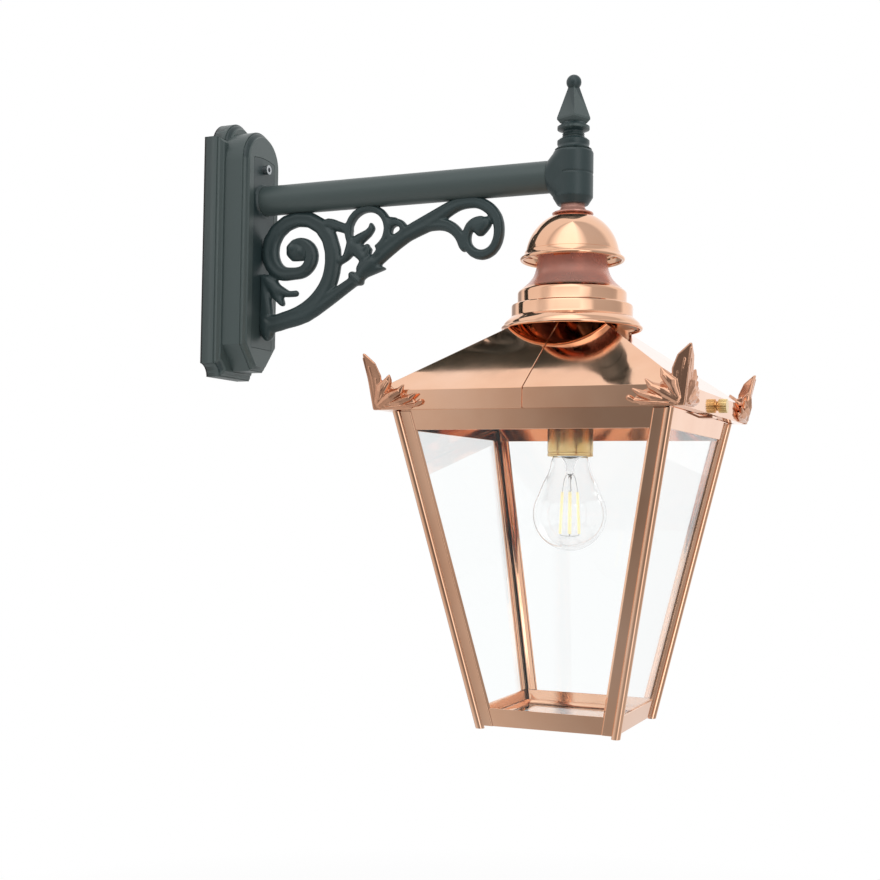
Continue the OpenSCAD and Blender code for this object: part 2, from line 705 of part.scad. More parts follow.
module lower_spacer() {
    start = crown_z + crown_t;
    at_lantern() translate([0, 0, start]) color(STEEL) ring(spacer_r, stem_r, bridge_z - start);
}

module crown_plate() {
    half = crown_w / 2 + crown_lap;
    at_lantern() translate([0, 0, crown_z]) color(COPPER) difference() {
        translate([-half, -half, 0]) cube([2 * half, 2 * half, crown_t]);
        translate([0, 0, -1]) cylinder(r = stem_r, h = crown_t + 2);
    }
}

module crown_nut() {
    at_lantern() translate([0, 0, crown_z - nut_h]) color(BRASS) hex_nut(nut_r, nut_h, stem_r);
}

// One quarter of the space round the lantern's axis, on the -Y side, drawn back from the mitres by gap
module quarter(gap) {
    far = eave_w;
    translate([0, 0, -cage_h - 60]) linear_extrude(cage_h + 200)
        polygon([[0, -gap * sqrt(2)], [far, -far - gap * sqrt(2)], [-far, -far - gap * sqrt(2)]]);
}

// A profile of [y, z] points drawn out along X and mitred at both ends
module mitred(gap) {
    intersection() {
        translate([-eave_w, 0, 0]) rotate([90, 0, 90]) linear_extrude(2 * eave_w) children();
        quarter(gap);
    }
}

module roof_face() {
    half = eave_w / 2;
    drop = sheet / cos(roof_pitch);
    crown = crown_w / 2;
    mitred(0) polygon([
        [-half, 0], [-half, fascia_h], [-crown, crown_z], [flange - crown, crown_z],
        [flange - crown, crown_z - sheet], [(drop - sheet) / roof_rise - crown, crown_z - sheet],
        [sheet - half, fascia_h + sheet * roof_rise - drop], [sheet - half, sheet],
        [lip_w - half, sheet], [lip_w - half, 0]]);
}

// Each roof half is one folded sheet: a whole face and the two half faces beside it
module roof_half() {
    roof_face();
    for (turn = [-90, 90]) intersection() {
        rotate([0, 0, turn]) roof_face();
        translate([-eave_w, -eave_w, -1]) cube([2 * eave_w, eave_w, crown_z + 2]);
    }
}
module roof_half_wall() {
    at_lantern() rotate([0, 0, 180]) color(COPPER) roof_half();
}
// The front half has the thumb screw's hole and a notch for the cage's lug
module roof_half_front() {
    notch = lug_w + 1.6;
    at_lantern() color(COPPER) difference() {
        roof_half();
        translate([-notch / 2, sheet - eave_w / 2, -1]) cube([notch, lip_w, sheet + 1.5]);
        translate([0, 5 - eave_w / 2, screw_z]) rotate([90, 0, 0])
            cylinder(r = thumb_shank_r + 0.35, h = 10);
    }
}

// Strips soldered behind the seams where the two roof halves meet
module seam_tabs() {
    at_lantern() color(COPPER) for (side = [0, 1]) mirror([side, 0, 0])
        translate([sheet - eave_w / 2, -tab_w / 2, sheet]) cube([1, tab_w, fascia_h - 2.5 * sheet]);
}

// Cast acanthus leaf that wraps a corner of the fascia: balls of [along the face, up, out, radius]
// drawn together in turn, so that each lobe curls over the next
module leaf_run(balls) {
    for (i = [1:len(balls) - 1]) hull() for (b = [balls[i - 1], balls[i]])
        translate([b[0], -b[2], b[1]]) sphere(r = b[3], $fn = b[3] < 2.5 ? 6 : 8);
}
module leaf_wing() {
    // Web behind the lobes
    hull() for (b = [[1, 3], [3, 23], [11, 18.6], [18, 13]])
        translate([b[0], -0.8, b[1]]) sphere(r = 1.4, $fn = 6);
    hull() for (b = [[4, 2.2], [18, 13], [27, 10.4], [34, 5], [30, 2]])
        translate([b[0], -0.8, b[1]]) sphere(r = 1.4, $fn = 6);
    leaf_run([[3, 6, 1, 3], [7, 16, 2.4, 5.2], [12, 21.4, 4, 3.6], [14, 26, 5.8, 0.8]]);
    leaf_run([[4, 4, 1, 3], [14, 10.4, 2, 4.8], [21.6, 13.6, 3, 3.2], [25.6, 18.6, 4.8, 0.8]]);
    leaf_run([[10, 3.4, 1, 2.4], [22, 6.6, 1.6, 3.8], [30, 8.8, 2.2, 2.6], [35.4, 12, 3.6, 0.8]]);
    leaf_run([[6, 1.8, 1, 1.4], [24, 2.4, 1.2, 1.8], [35, 3.8, 1.4, 1.6], [38.8, 6, 1.8, 2.2]]);
}
// Tall middle lobe, folded along the corner: [height, corner's outset, edge along the face, edge's outset]
TALL = [[1, 0.4, 3, 0.8, 1.6], [13, 1.8, 5.8, 3, 1.9], [26, 3.8, 5.6, 5.2, 1.6], [35, 5.6, 1.8, 6.6, 1.3],
    [42.6, 7.4, -6.4, 7.2, 0.8]];
module leaf_tall() {
    for (i = [1:len(TALL) - 1]) hull() for (k = [TALL[i - 1], TALL[i]]) {
        translate([-k[1], -k[1], k[0]]) sphere(r = k[4], $fn = 6);
        translate([k[2], -k[3], k[0]]) sphere(r = k[4] * 0.8, $fn = 6);
    }
}
module corner_leaf(turn) {
    at_lantern() rotate([0, 0, turn]) color(COPPER) difference() {
        union() {
            translate([-eave_w / 2, -eave_w / 2, 0]) scale(leaf_h / 43.5) {
                leaf_wing();
                leaf_tall();
                mirror([1, -1, 0]) {
                    leaf_wing();
                    leaf_tall();
                }
            }
        }
        translate([-eave_w / 2, -eave_w / 2, -1]) cube([60, 60, fascia_h + 1]);
        translate([-eave_w / 2 - 20, -eave_w / 2 - 20, -10]) cube([80, 80, 10]);
        translate([-eave_w / 2, -eave_w / 2, fascia_h - e]) hull() {
            cube([60, 60, 0.1]);
            translate([60, 60, 60 * roof_rise]) cube([0.1, 0.1, 0.1]);
        }
    }
}
module corner_leaf_1() { corner_leaf(0); }
module corner_leaf_2() { corner_leaf(90); }
module corner_leaf_3() { corner_leaf(180); }
module corner_leaf_4() { corner_leaf(270); }

// Lamp

module holder_locknut() {
    at_lantern() translate([0, 0, holder_top]) color(BRASS) hex_nut(9.5, locknut_h, stem_r);
}

module lampholder_shell() {
    at_lantern() color(BRASS) rotate_extrude() polygon([
        [holder_r - 0.5, -holder_drop], [holder_r, 0.6 - holder_drop], [holder_r, -2], [holder_r - 0.8, 1],
        [holder_r - 4, 4.6], [10, 7.4], [10, holder_top], [stem_r, holder_top], [stem_r, 4],
        [9, 3.4], [holder_r - 5, 1.6], [holder_r - skin - 0.8, -1], [holder_r - skin, insert_top],
        [holder_r - skin, -holder_drop]]);
}

module lampholder_insert() {
    foot = insert_lip - holder_drop;
    at_lantern() color("white") difference() {
        translate([0, 0, foot]) cylinder(r = holder_r - skin, h = insert_top - foot);
        translate([0, 0, foot - 1]) cylinder(r = cap_r + 0.4, h = cap_top - foot + 1);
    }
}

module bulb_cap() {
    at_lantern() translate([0, 0, cap_top]) color(STEEL) {
        translate([0, 0, -3]) cylinder(r1 = 8, r2 = 4.8, h = 3);
        translate([0, 0, -cap_h]) cylinder(r = cap_r, h = cap_h - 3);
    }
}

// Outline of the glass: [radius, height] from the neck down to the crown
function neck_curve(s, rise, out) = rise * (3 * s * s - 2 * s * s * s) + out * (s * s * s - s * s);
function bulb_profile(shrink) =
    let (turn = 34, r = bulb_d / 2, neck = cap_top - cap_h, shoulder = r * sin(turn) - bulb_drop)
    let (span = neck - shoulder, gain = r * cos(turn) - neck_r)
    concat(
        [for (i = [0:6]) let (s = i / 7)
            [neck_r - shrink + neck_curve(s, gain, tan(turn) * span), neck - span * s]],
        arc([0, -bulb_drop], r - shrink, turn, -90, 18));

module bulb_glass() {
    inner = bulb_profile(bulb_wall);
    at_lantern() color(GLASS) rotate_extrude() polygon(concat(
        bulb_profile(0), [for (i = [len(inner) - 1:-1:0]) inner[i]]));
}

// Glass foot, exhaust tube and post that carry the filaments
module bulb_stem() {
    foot = cap_top - cap_h;
    at_lantern() color(GLASS) rotate_extrude() polygon([
        [0, foot], [neck_r - bulb_wall, foot], [9.4, foot - 2], [4.6, foot - 6], [3, foot - 12],
        [2.4, foot - 22], [1.4, foot - 24], [1.4, foot - 46], [0, foot - 48]]);
}

module bulb_filaments() {
    top = cap_top - cap_h - 20;
    long = 24;
    at_lantern() color("#e8d27a") for (i = [0:3]) rotate([0, 0, 45 + 90 * i]) {
        translate([6.4, 0, top - long]) cylinder(r = 0.9, h = long, $fn = 16);
        translate([1.4, -0.3, top - long - 0.6]) cube([5.9, 0.6, 0.7]);
        translate([2.54, -0.3, top - 0.1]) cube([4.76, 0.6, 0.7]);
    }
}

module internal_lead() {
    run = [for (k = LEAD_ROUTE) [-k[0], k[1]]];
    color("#e6e3da") planar_sweep(run, [for (k = run) [for (a = [0:45:315]) LEAD_D / 2 * [cos(a), sin(a)]]]);
}

// Hinge, thumb screw and the cage's lug

module on_hinge() {
    at_lantern() translate([0, hinge_y, hinge_z]) children();
}
module knuckle(from, to, bore) {
    translate([from, 0, 0]) rotate([0, 90, 0]) ring(barrel_r, bore, to - from);
}

module hinge_roof_leaf() {
    end = eave_w / 2 - 0.2 - hinge_y;
    third = hinge_l / 6;
    clear = barrel_r + knuckle_gap;
    color(BRASS) on_hinge() difference() {
        union() {
            knuckle(knuckle_gap / 2 - third, third - knuckle_gap / 2, hinge_pin_d / 2);
            translate([knuckle_gap / 2 - third, 0, barrel_r - leaf_t])
                cube([2 * third - knuckle_gap, end, leaf_t]);
            translate([-hinge_l / 2, clear, barrel_r - leaf_t]) cube([hinge_l, end - clear, leaf_t]);
        }
        rotate([0, 90, 0]) cylinder(d = hinge_pin_d, h = hinge_l, center = true);
    }
}

module hinge_pin() {
    color(STEEL) on_hinge() rotate([0, 90, 0]) {
        translate([0, 0, -hinge_l / 2 - 2]) cylinder(d = hinge_pin_d, h = hinge_l + 4);
        translate([0, 0, hinge_l / 2 + 0.5]) cylinder(d = hinge_pin_d + 2, h = 1.5);
        translate([0, 0, -hinge_l / 2 - 2]) cylinder(d = hinge_pin_d + 2, h = 1.5);
    }
}

function side_at(z) = cage_top_w / 2 + cage_slope * z;
// A point out by n from the cage's face, on its -Y side
function off_face(n, z) = [-side_at(z) - n / cos(cage_lean), z];

module hinge_cage_leaf() {
    third = hinge_l / 6;
    grip_z = hinge_z - barrel_r;
    low_z = hinge_z - 11;
    color(BRASS) at_lantern() rotate([0, 0, 180]) {
        for (side = [0, 1]) mirror([side, 0, 0]) translate([third + knuckle_gap / 2, 0, 0]) {
            difference() {
                rotate([90, 0, 90]) linear_extrude(hinge_l / 2 - third - knuckle_gap / 2) polygon([
                    off_face(0, hinge_z + 1), [-hinge_y, hinge_z + 1], [-hinge_y, hinge_z - 1],
                    off_face(leaf_t, grip_z), off_face(leaf_t, low_z), off_face(0, low_z)]);
                translate([-1, -hinge_y, hinge_z]) rotate([0, 90, 0])
                    cylinder(r = hinge_pin_d / 2 + pin_play, h = hinge_l);
            }
            translate([0, -hinge_y, hinge_z])
                knuckle(0, hinge_l / 2 - third - knuckle_gap / 2, hinge_pin_d / 2 + pin_play);
        }
        translate([-hinge_l / 2, 0, 0]) rotate([90, 0, 90]) linear_extrude(hinge_l) polygon([
            off_face(0, grip_z), off_face(leaf_t, grip_z), off_face(leaf_t, low_z), off_face(0, low_z)]);
    }
}

module at_thumb() {
    at_lantern() translate([0, -eave_w / 2, screw_z]) rotate([90, 0, 0]) children();
}

// Knurled head outside the fascia, its axis out along -Y, and a shank through to the clamp nut
module thumb_screw() {
    inside = clamp_face + spring_t + clamp_nut_t + 1.5;
    groove_r = thumb_d * PI / knurls * 0.3;
    color(BRASS) at_thumb() {
        translate([0, 0, 0.3]) cylinder(r = thumb_d / 2 - 1.6, h = thumb_collar);
        difference() {
            translate([0, 0, thumb_collar]) cylinder(d = thumb_d, h = thumb_l);
            for (i = [0:knurls - 1]) rotate([0, 0, 360 * i / knurls])
                translate([thumb_d / 2 + groove_r * 0.3, 0, thumb_collar - 1])
                    cylinder(r = groove_r, h = thumb_l + 2, $fn = 14);
        }
        translate([0, 0, -inside]) cylinder(r = thumb_shank_r, h = inside + 1);
    }
}

// Strip spring riveted inside the fascia; the screw draws its nut up against the lug
module clamp_spring() {
    half = lug_w / 2 + 6;
    step = lug_w / 2 + 1.5;
    color(STEEL) at_thumb() difference() {
        union() {
            for (side = [0, 1]) mirror([side, 0, 0]) {
                translate([step, -spring_w / 2, -sheet - spring_t]) cube([half - step, spring_w, spring_t]);
                translate([step, -spring_w / 2, -clamp_face - spring_t])
                    cube([spring_t, spring_w, clamp_face + spring_t - sheet]);
            }
            translate([-step - e, -spring_w / 2, -clamp_face - spring_t])
                cube([2 * step + 2 * e, spring_w, spring_t]);
        }
        translate([0, 0, -clamp_face - 2]) cylinder(r = thumb_shank_r + 0.4, h = 4);
    }
}
module clamp_nut() {
    color(STEEL) at_thumb() translate([0, 0, -clamp_face - spring_t - clamp_nut_t]) difference() {
        translate([-4.5, -4, 0]) cube([9, 8, clamp_nut_t]);
        translate([0, 0, -1]) cylinder(r = thumb_shank_r + pin_play, h = clamp_nut_t + 2);
    }
}

// Slotted tongue on the cage's front rail, open at the top so that the cage drops clear
module cage_lug() {
    slot_r = thumb_shank_r + 0.5;
    out = eave_w / 2 - sheet - lug_gap;
    top = screw_z + 5.5;
    color(COPPER) at_lantern() difference() {
        union() {
            translate([-lug_w / 2, -out, -2]) cube([lug_w, lug_t, top + 2]);
            translate([-lug_w / 2, 0, 0]) rotate([90, 0, 90]) linear_extrude(lug_w)
                polygon([[-out, -2], [-out, -0.5], off_face(0, -0.5), off_face(0, -2)]);
        }
        translate([0, 1 - out + lug_t, screw_z]) rotate([90, 0, 0]) cylinder(r = slot_r, h = lug_t + 2);
        translate([-slot_r, -out - 1, screw_z]) cube([2 * slot_r, lug_t + 2, top]);
    }
}

// Cage

// The space inside the cage's front face and the face beside it
module inside_faces(from) {
    top = 20;
    for_face = [off_face(0, from), off_face(0, top), [eave_w, top], [eave_w, from]];
    intersection() {
        translate([-eave_w, 0, 0]) rotate([90, 0, 90]) linear_extrude(2 * eave_w) polygon(for_face);
        rotate([0, 0, -90]) translate([-eave_w, 0, 0]) rotate([90, 0, 90]) linear_extrude(2 * eave_w)
            polygon(for_face);
    }
}

// A post's leg on the front face: a face strip outside the rails and a hem between them
module post_leg_strip() {
    difference() {
        union() {
            mitred(0) polygon([off_face(0, -cage_h), off_face(0, -0.4), off_face(leg_t, -0.4),
                off_face(leg_t, -cage_h)]);
            mitred(0) polygon([off_face(-sheet, foot_rail_h - cage_h), off_face(-sheet, -top_rail_h),
                off_face(e, -top_rail_h), off_face(e, foot_rail_h - cage_h)]);
        }
        quarter(post_leg / sqrt(2));
    }
}

// Corner post: a leg on each face beside it and a half-round bead down the corner
module corner_post(turn) {
    foot = -cage_h - foot_drop;
    lean = atan(cage_slope * sqrt(2));
    run = side_at(foot) * sqrt(2);
    color(COPPER) at_lantern() rotate([0, 0, turn]) {
        difference() {
            intersection() {
                rotate([0, 0, -45]) translate([0, -run, foot]) rotate([lean, 0, 0]) translate([0, 0, -10])
                    cylinder(d = bead_d, h = cage_h + 40);
                translate([-eave_w, -eave_w, foot]) cube([2 * eave_w, 2 * eave_w, -0.4 - foot]);
            }
            inside_faces(-cage_h);
        }
        intersection() {
            post_leg_strip();
            translate([-eave_w, -eave_w, -2 * cage_h]) cube([eave_w, eave_w, 3 * cage_h]);
        }
        rotate([0, 0, -90]) intersection() {
            post_leg_strip();
            translate([0, -eave_w, -2 * cage_h]) cube([eave_w, eave_w, 3 * cage_h]);
        }
    }
}

// Top rail: an upside-down channel that holds the glass's top edge
module top_rail(turn) {
    back = -sheet - channel;
    color(COPPER) at_lantern() rotate([0, 0, turn]) mitred(0) polygon([
        off_face(0, -top_rail_h), off_face(0, frame_up), off_face(back - sheet, frame_up),
        off_face(back - sheet, frame_up - rail_lip), off_face(back, frame_up - rail_lip),
        off_face(back, frame_up - sheet), off_face(-sheet, frame_up - sheet),
        off_face(-sheet, -top_rail_h)]);
}

// Foot rail: a channel under the glass with a shelf for the base glass
module foot_rail(turn) {
    back = -sheet - channel;
    floor_z = sheet - cage_h;
    color(COPPER) at_lantern() rotate([0, 0, turn]) mitred(0) polygon([
        off_face(0, foot_rail_h - cage_h), off_face(0, -cage_h), [shelf - side_at(-cage_h), -cage_h],
        [shelf - side_at(-cage_h), floor_z], off_face(back - sheet, floor_z),
        off_face(back - sheet, floor_z + rail_lip), off_face(back, floor_z + rail_lip),
        off_face(back, floor_z), off_face(-sheet, floor_z), off_face(-sheet, foot_rail_h - cage_h)]);
}

module glass_pane(turn) {
    low = sheet - cage_h;
    high = frame_up - sheet - 0.5;
    color(GLASS) at_lantern() rotate([0, 0, turn]) mitred(corner_gap) polygon([
        off_face(-sheet, low), off_face(-sheet, high), off_face(-sheet - glass_t, high),
        off_face(-sheet - glass_t, low)]);
}

module base_glass() {
    half = side_at(sheet - cage_h) - 2 * sheet - channel - 1;
    color(GLASS) at_lantern() translate([-half, -half, sheet - cage_h]) cube([2 * half, 2 * half, glass_t]);
}

module corner_post_1() { corner_post(0); }
module corner_post_2() { corner_post(90); }
module corner_post_3() { corner_post(180); }
module corner_post_4() { corner_post(270); }
module top_rail_1() { top_rail(0); }
module top_rail_2() { top_rail(90); }
module top_rail_3() { top_rail(180); }
module top_rail_4() { top_rail(270); }
module foot_rail_1() { foot_rail(0); }
module foot_rail_2() { foot_rail(90); }
module foot_rail_3() { foot_rail(180); }
module foot_rail_4() { foot_rail(270); }
module glass_pane_1() { glass_pane(0); }
module glass_pane_2() { glass_pane(90); }
module glass_pane_3() { glass_pane(180); }
module glass_pane_4() { glass_pane(270); }

wall_plate();
wall_gasket();
terminal_block();
arm_plate();
arm_plate_screw();
arm_tube();
scroll_bracket();
arm_hub();
finial();
neck_collar();
dome_cap();
chimney();
stem_tube();
upper_spacer();
chimney_bridge();
lower_spacer();
crown_plate();
crown_nut();
roof_half_wall();
roof_half_front();
seam_tabs();
corner_leaf_1();
corner_leaf_2();
corner_leaf_3();
corner_leaf_4();
holder_locknut();
lampholder_shell();
lampholder_insert();
bulb_cap();
bulb_glass();
bulb_stem();
bulb_filaments();
internal_lead();
hinge_roof_leaf();
hinge_pin();
clamp_spring();
clamp_nut();
thumb_screw();
corner_post_1();
corner_post_2();
corner_post_3();
corner_post_4();
top_rail_1();
top_rail_2();
top_rail_3();
top_rail_4();
foot_rail_1();
foot_rail_2();
foot_rail_3();
foot_rail_4();
glass_pane_1();
glass_pane_2();
glass_pane_3();
glass_pane_4();
base_glass();
hinge_cage_leaf();
cage_lug();
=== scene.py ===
"""Outdoor wall light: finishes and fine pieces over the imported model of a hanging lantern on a
scrolled wall arm. The stage is in metres. Pieces are shaped in millimetres, with heights over the
eave and radii round the lantern's axis."""
import json
import math

import bmesh
import bpy
from mathutils import Matrix, Vector


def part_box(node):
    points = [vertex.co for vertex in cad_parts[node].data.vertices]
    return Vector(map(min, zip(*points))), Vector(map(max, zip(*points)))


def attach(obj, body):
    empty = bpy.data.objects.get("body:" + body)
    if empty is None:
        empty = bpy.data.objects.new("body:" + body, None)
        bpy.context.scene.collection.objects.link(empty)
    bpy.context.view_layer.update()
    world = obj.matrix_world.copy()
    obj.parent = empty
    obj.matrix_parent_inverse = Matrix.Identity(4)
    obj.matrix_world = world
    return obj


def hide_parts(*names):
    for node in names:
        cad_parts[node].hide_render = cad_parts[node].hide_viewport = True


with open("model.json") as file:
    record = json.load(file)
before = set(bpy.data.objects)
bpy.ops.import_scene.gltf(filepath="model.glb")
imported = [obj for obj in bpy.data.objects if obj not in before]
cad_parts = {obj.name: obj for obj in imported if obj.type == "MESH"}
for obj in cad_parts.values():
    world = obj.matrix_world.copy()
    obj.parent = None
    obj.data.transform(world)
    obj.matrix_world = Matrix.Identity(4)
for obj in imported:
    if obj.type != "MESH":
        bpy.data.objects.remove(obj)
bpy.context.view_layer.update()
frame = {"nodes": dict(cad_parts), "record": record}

bl_info = {
    "name": "Wall Lantern Finisher",
    "version": (1, 0, 0),
    "blender": (4, 5, 0),
    "location": "3D View > Sidebar > Wall Lantern",
    "description": "Models a wall lantern's spun, folded and cast pieces and their finishes",
    "category": "Object",
}

MM = 0.001
ROOT = "bracket_and_roof"
CAGE = "cage"
SCREW = "thumb_screw"

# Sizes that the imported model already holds, read from its pieces
TUBE_LOW, TUBE_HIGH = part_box("arm_tube")
STEM_LOW, STEM_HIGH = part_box("stem_tube")
FRONT_LOW, FRONT_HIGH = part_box("roof_half_front")
EAVE_Z = FRONT_LOW.z
AXIS = Vector(((STEM_LOW.x + STEM_HIGH.x) / 2, (STEM_LOW.y + STEM_HIGH.y) / 2, EAVE_Z))
SLOTS = {s["node"]: s["material_slot"] for s in frame["record"]["subparts"]}

# The camera, fitted to the light: its place, its turns in radians, and its focal length, image and
# sensor, the first two in pixels and the last in millimetres
CAMERA_AT = (-1.0473, -0.6667, -0.222)
CAMERA_YAW, CAMERA_PITCH, CAMERA_ROLL = 0.4037, 0.0434, 0.0133
FOCAL_PX, IMAGE_PX, SENSOR_MM = 1332.9, 880, 36

# The floor's middle and side, the point that the lamps face, and the lamps: name, place, width,
# height and power
FLOOR_AT, FLOOR_SIDE = (0, -0.3, -1.0), 24
LAMPS_FACE = Vector((0, -0.3, -0.1))
LAMPS = (("key_softbox", (-1.3, -1.7, 1.3), 1.1, 1.4, 13),
         ("fill_softbox", (-1.7, 0.9, 0.6), 1.0, 1.3, 1.6),
         ("rim_softbox", (1.4, -1.2, 0.9), 0.9, 1.2, 8))
AMBIENT = (0.72, 0.72, 0.72, 1)
WHITE = (1, 1, 1, 1)

# How bright the studio is round the light, as a polished surface sees it: (bearing in degrees,
# level). A dark gap where the camera stands, a bright strip beside it, and pale walls all round.
# The second ring is what is seen higher up, and the floor shows a share of the first.
STUDIO_LEVEL = ((-180, 0.24), (-150, 0.26), (-143, 1.9), (-126, 1.9), (-118, 0.5), (-56, 0.5),
                (-47, 1.05), (34, 1.05), (41, 0.42), (57, 0.42), (66, 0.95), (134, 0.95),
                (143, 0.5), (149, 0.55), (154, 0.84), (165, 0.3), (180, 0.24))
STUDIO_ABOVE = ((-180, 1.7), (-150, 1.7), (-122, 0.66), (-66, 0.62), (-48, 1.0), (38, 1.05),
                (52, 1.0), (72, 0.97), (122, 0.97), (132, 0.66), (140, 0.9), (160, 1.6), (180, 1.7))
FLOOR_SHARE = 0.8


def span(node):
    """A node's lowest and highest point over the eave and its greatest radius, in millimetres."""
    low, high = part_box(node)
    return (low.z - EAVE_Z) / MM, (high.z - EAVE_Z) / MM, (high.x - low.x) / 2 / MM


CHIMNEY_LOW, CHIMNEY_HIGH, CHIMNEY_R = span("chimney")
DOME_LOW, DOME_HIGH, DOME_R = span("dome_cap")
# The heights between which the chimney's polish fades into the drum above its steps: rougher
# and less metallic, with a darker colour there that is painted shade under the dome
DRUM = (AXIS.z + (CHIMNEY_HIGH - 43.5) * MM, AXIS.z + (CHIMNEY_HIGH - 41) * MM)


# ---------------------------------------------------------------- colours and nodes

def tone(code, alpha=1.0):
    """An sRGB hex value as a linear colour."""
    parts = [int(code[i:i + 2], 16) / 255 for i in (1, 3, 5)]
    return [c / 12.92 if c <= 0.04045 else ((c + 0.055) / 1.055) ** 2.4 for c in parts] + [alpha]


def add(tree, kind, inputs=None, **settings):
    """A node with its settings; an input is a value or the socket that feeds it."""
    made = tree.nodes.new(kind)
    for name, value in settings.items():
        setattr(made, name, value)
    for key, value in (inputs or {}).items():
        if isinstance(value, bpy.types.NodeSocket):
            tree.links.new(value, made.inputs[key])
        else:
            made.inputs[key].default_value = value
    return made


def ramp(tree, fac, stops):
    """A colour ramp; stops are (place, colour)."""
    made = add(tree, "ShaderNodeValToRGB", {"Fac": fac})
    band = made.color_ramp
    while len(band.elements) < len(stops):
        band.elements.new(0.5)
    for element, (place, colour) in zip(band.elements, stops):
        element.position = place
        element.color = colour
    return made.outputs["Color"]


def spread(tree, fac, low, high, start=0.3, end=0.7):
    """Turns a noise into a value between low and high."""
    made = add(tree, "ShaderNodeMapRange", {
        "Value": fac, "From Min": start, "From Max": end, "To Min": low, "To Max": high})
    return made.outputs["Result"]


def begin(name):
    """A new material with its shader and the piece's own coordinates."""
    material = bpy.data.materials.new(name)
    material.use_nodes = True
    tree = material.node_tree
    shader = tree.nodes["Principled BSDF"]
    where = add(tree, "ShaderNodeTexCoord").outputs["Object"]
    return material, tree, shader, where


def noise(tree, where, size_mm, detail=3.0, rough=0.5, stretch=None):
    """Noise whose lumps are about size_mm across; stretch squeezes it along X, Y and Z."""
    if stretch:
        mapping = add(tree, "ShaderNodeMapping", {"Vector": where, "Scale": stretch})
        where = mapping.outputs["Vector"]
    made = add(tree, "ShaderNodeTexNoise", {
        "Vector": where, "Scale": 1000 / size_mm / 2, "Detail": detail, "Roughness": rough})
    return made.outputs["Fac"]


def bump(tree, shader, layers):
    """Stacks bumps, coarse first; each layer is (height, depth in mm, strength)."""
    normal = None
    for height, depth, strength in layers:
        inputs = {"Height": height, "Distance": depth * MM, "Strength": strength}
        if normal:
            inputs["Normal"] = normal
        normal = add(tree, "ShaderNodeBump", inputs).outputs["Normal"]
    tree.links.new(normal, shader.inputs["Normal"])


def feed(tree, shader, **sockets):
    """Links or sets the shader's sockets by name, with spaces as underscores."""
    for name, value in sockets.items():
        socket = shader.inputs[name.replace("_", " ")]
        if isinstance(value, bpy.types.NodeSocket):
            tree.links.new(value, socket)
        else:
            socket.default_value = value


def mix(tree, factor, a, b):
    """Blends two colours."""
    made = add(tree, "ShaderNodeMix", data_type="RGBA")
    for index, value in ((0, factor), (6, a), (7, b)):
        if isinstance(value, bpy.types.NodeSocket):
            tree.links.new(value, made.inputs[index])
        else:
            made.inputs[index].default_value = value
    return made.outputs[2]


# ---------------------------------------------------------------- finishes

def satin_powder_coat(look):
    """Satin powder coat on cast iron and steel tube: a dark slate green with a fine orange peel, a
    low sheen that varies in soft clouds, and slightly paler rubbed edges."""
    material, tree, shader, where = begin("powder_coated_cast_iron")
    cloud = noise(tree, where, 38, 4)
    sand = noise(tree, where, 3.2, 3)
    peel = noise(tree, where, 1.1, 2)
    edge = add(tree, "ShaderNodeNewGeometry").outputs["Pointiness"]
    rub = spread(tree, edge, 0.0, 0.8, 0.52, 0.6)
    base = ramp(tree, cloud, [(0.3, look.paint_dark), (0.7, look.paint)])
    feed(tree, shader, Base_Color=mix(tree, rub, base, look.paint_rubbed), IOR=1.5,
         Roughness=spread(tree, cloud, 0.34, 0.46))
    bump(tree, shader, [(sand, 0.2, 0.2), (peel, 0.05, 0.3)])
    return material


def polished_copper(look, name, wave, brush=0.0, cast=0.0, dull=None):
    """Polished copper, bright as a mirror, with flecks of dust and lime. Folded sheet is a little
    wavy and smudged. Spun copper has faint rings from the tool, and a drum that is rougher and
    less metallic, its darker colour there painted shade under the dome. A plated casting
    keeps some of the sand's grain and is browner in soft patches.

    wave and brush are depths in millimetres, cast is the casting's roughness, and dull gives the
    heights between which the polish fades into the drum's duller finish and its painted shade."""
    material, tree, shader, where = begin(name)
    cloud = noise(tree, where, 60, 4, 0.55)
    smear = noise(tree, where, 16, 5, 0.65, (1, 1, 0.45))
    fleck = spread(tree, noise(tree, where, 0.8, 1), 0.0, 0.5, 0.76, 0.82)
    colour = ramp(tree, cloud, [(0.28, look.copper_dark), (0.5, look.copper),
                                (0.74, look.copper_light)])
    rough = spread(tree, smear, 0.03 + cast, 0.1 + cast)
    metal = 1.0
    # Above the drum's heights the colour turns darker and pinker, which is painted shade under the
    # dome, while roughness rises and metal falls for the drum's real dullness
    if dull:
        height = add(tree, "ShaderNodeSeparateXYZ", {"Vector": where}).outputs["Z"]
        dull_and_shade_zone = spread(tree, height, 0.0, 1.0, dull[0], dull[1])
        colour = mix(tree, dull_and_shade_zone, colour, look.copper_dull_and_shade)
        rough = add(tree, "ShaderNodeMath", {0: dull_and_shade_zone, 1: 0.2, 2: rough},
                    operation="MULTIPLY_ADD").outputs[0]
        metal = spread(tree, dull_and_shade_zone, 1.0, 0.45, 0.0, 1.0)
    if cast:
        colour = mix(tree, spread(tree, smear, 0.3, 0.6), colour, look.copper_cast)
    colour = mix(tree, fleck, colour, tone("#f6e3d6"))
    feed(tree, shader, Base_Color=colour, Metallic=metal, Roughness=rough)
    layers = [(noise(tree, where, 70, 1), wave, 0.6), (noise(tree, where, 21, 1), wave / 5, 0.6)]
    if brush:
        layers.append((noise(tree, where, 2.4, 2, 0.5, (0.06, 0.06, 6.0)), brush, 0.2))
    layers.append((noise(tree, where, 1.6, 3), 0.012 + 0.3 * cast, 0.15 + cast))
    bump(tree, shader, layers)
    return material


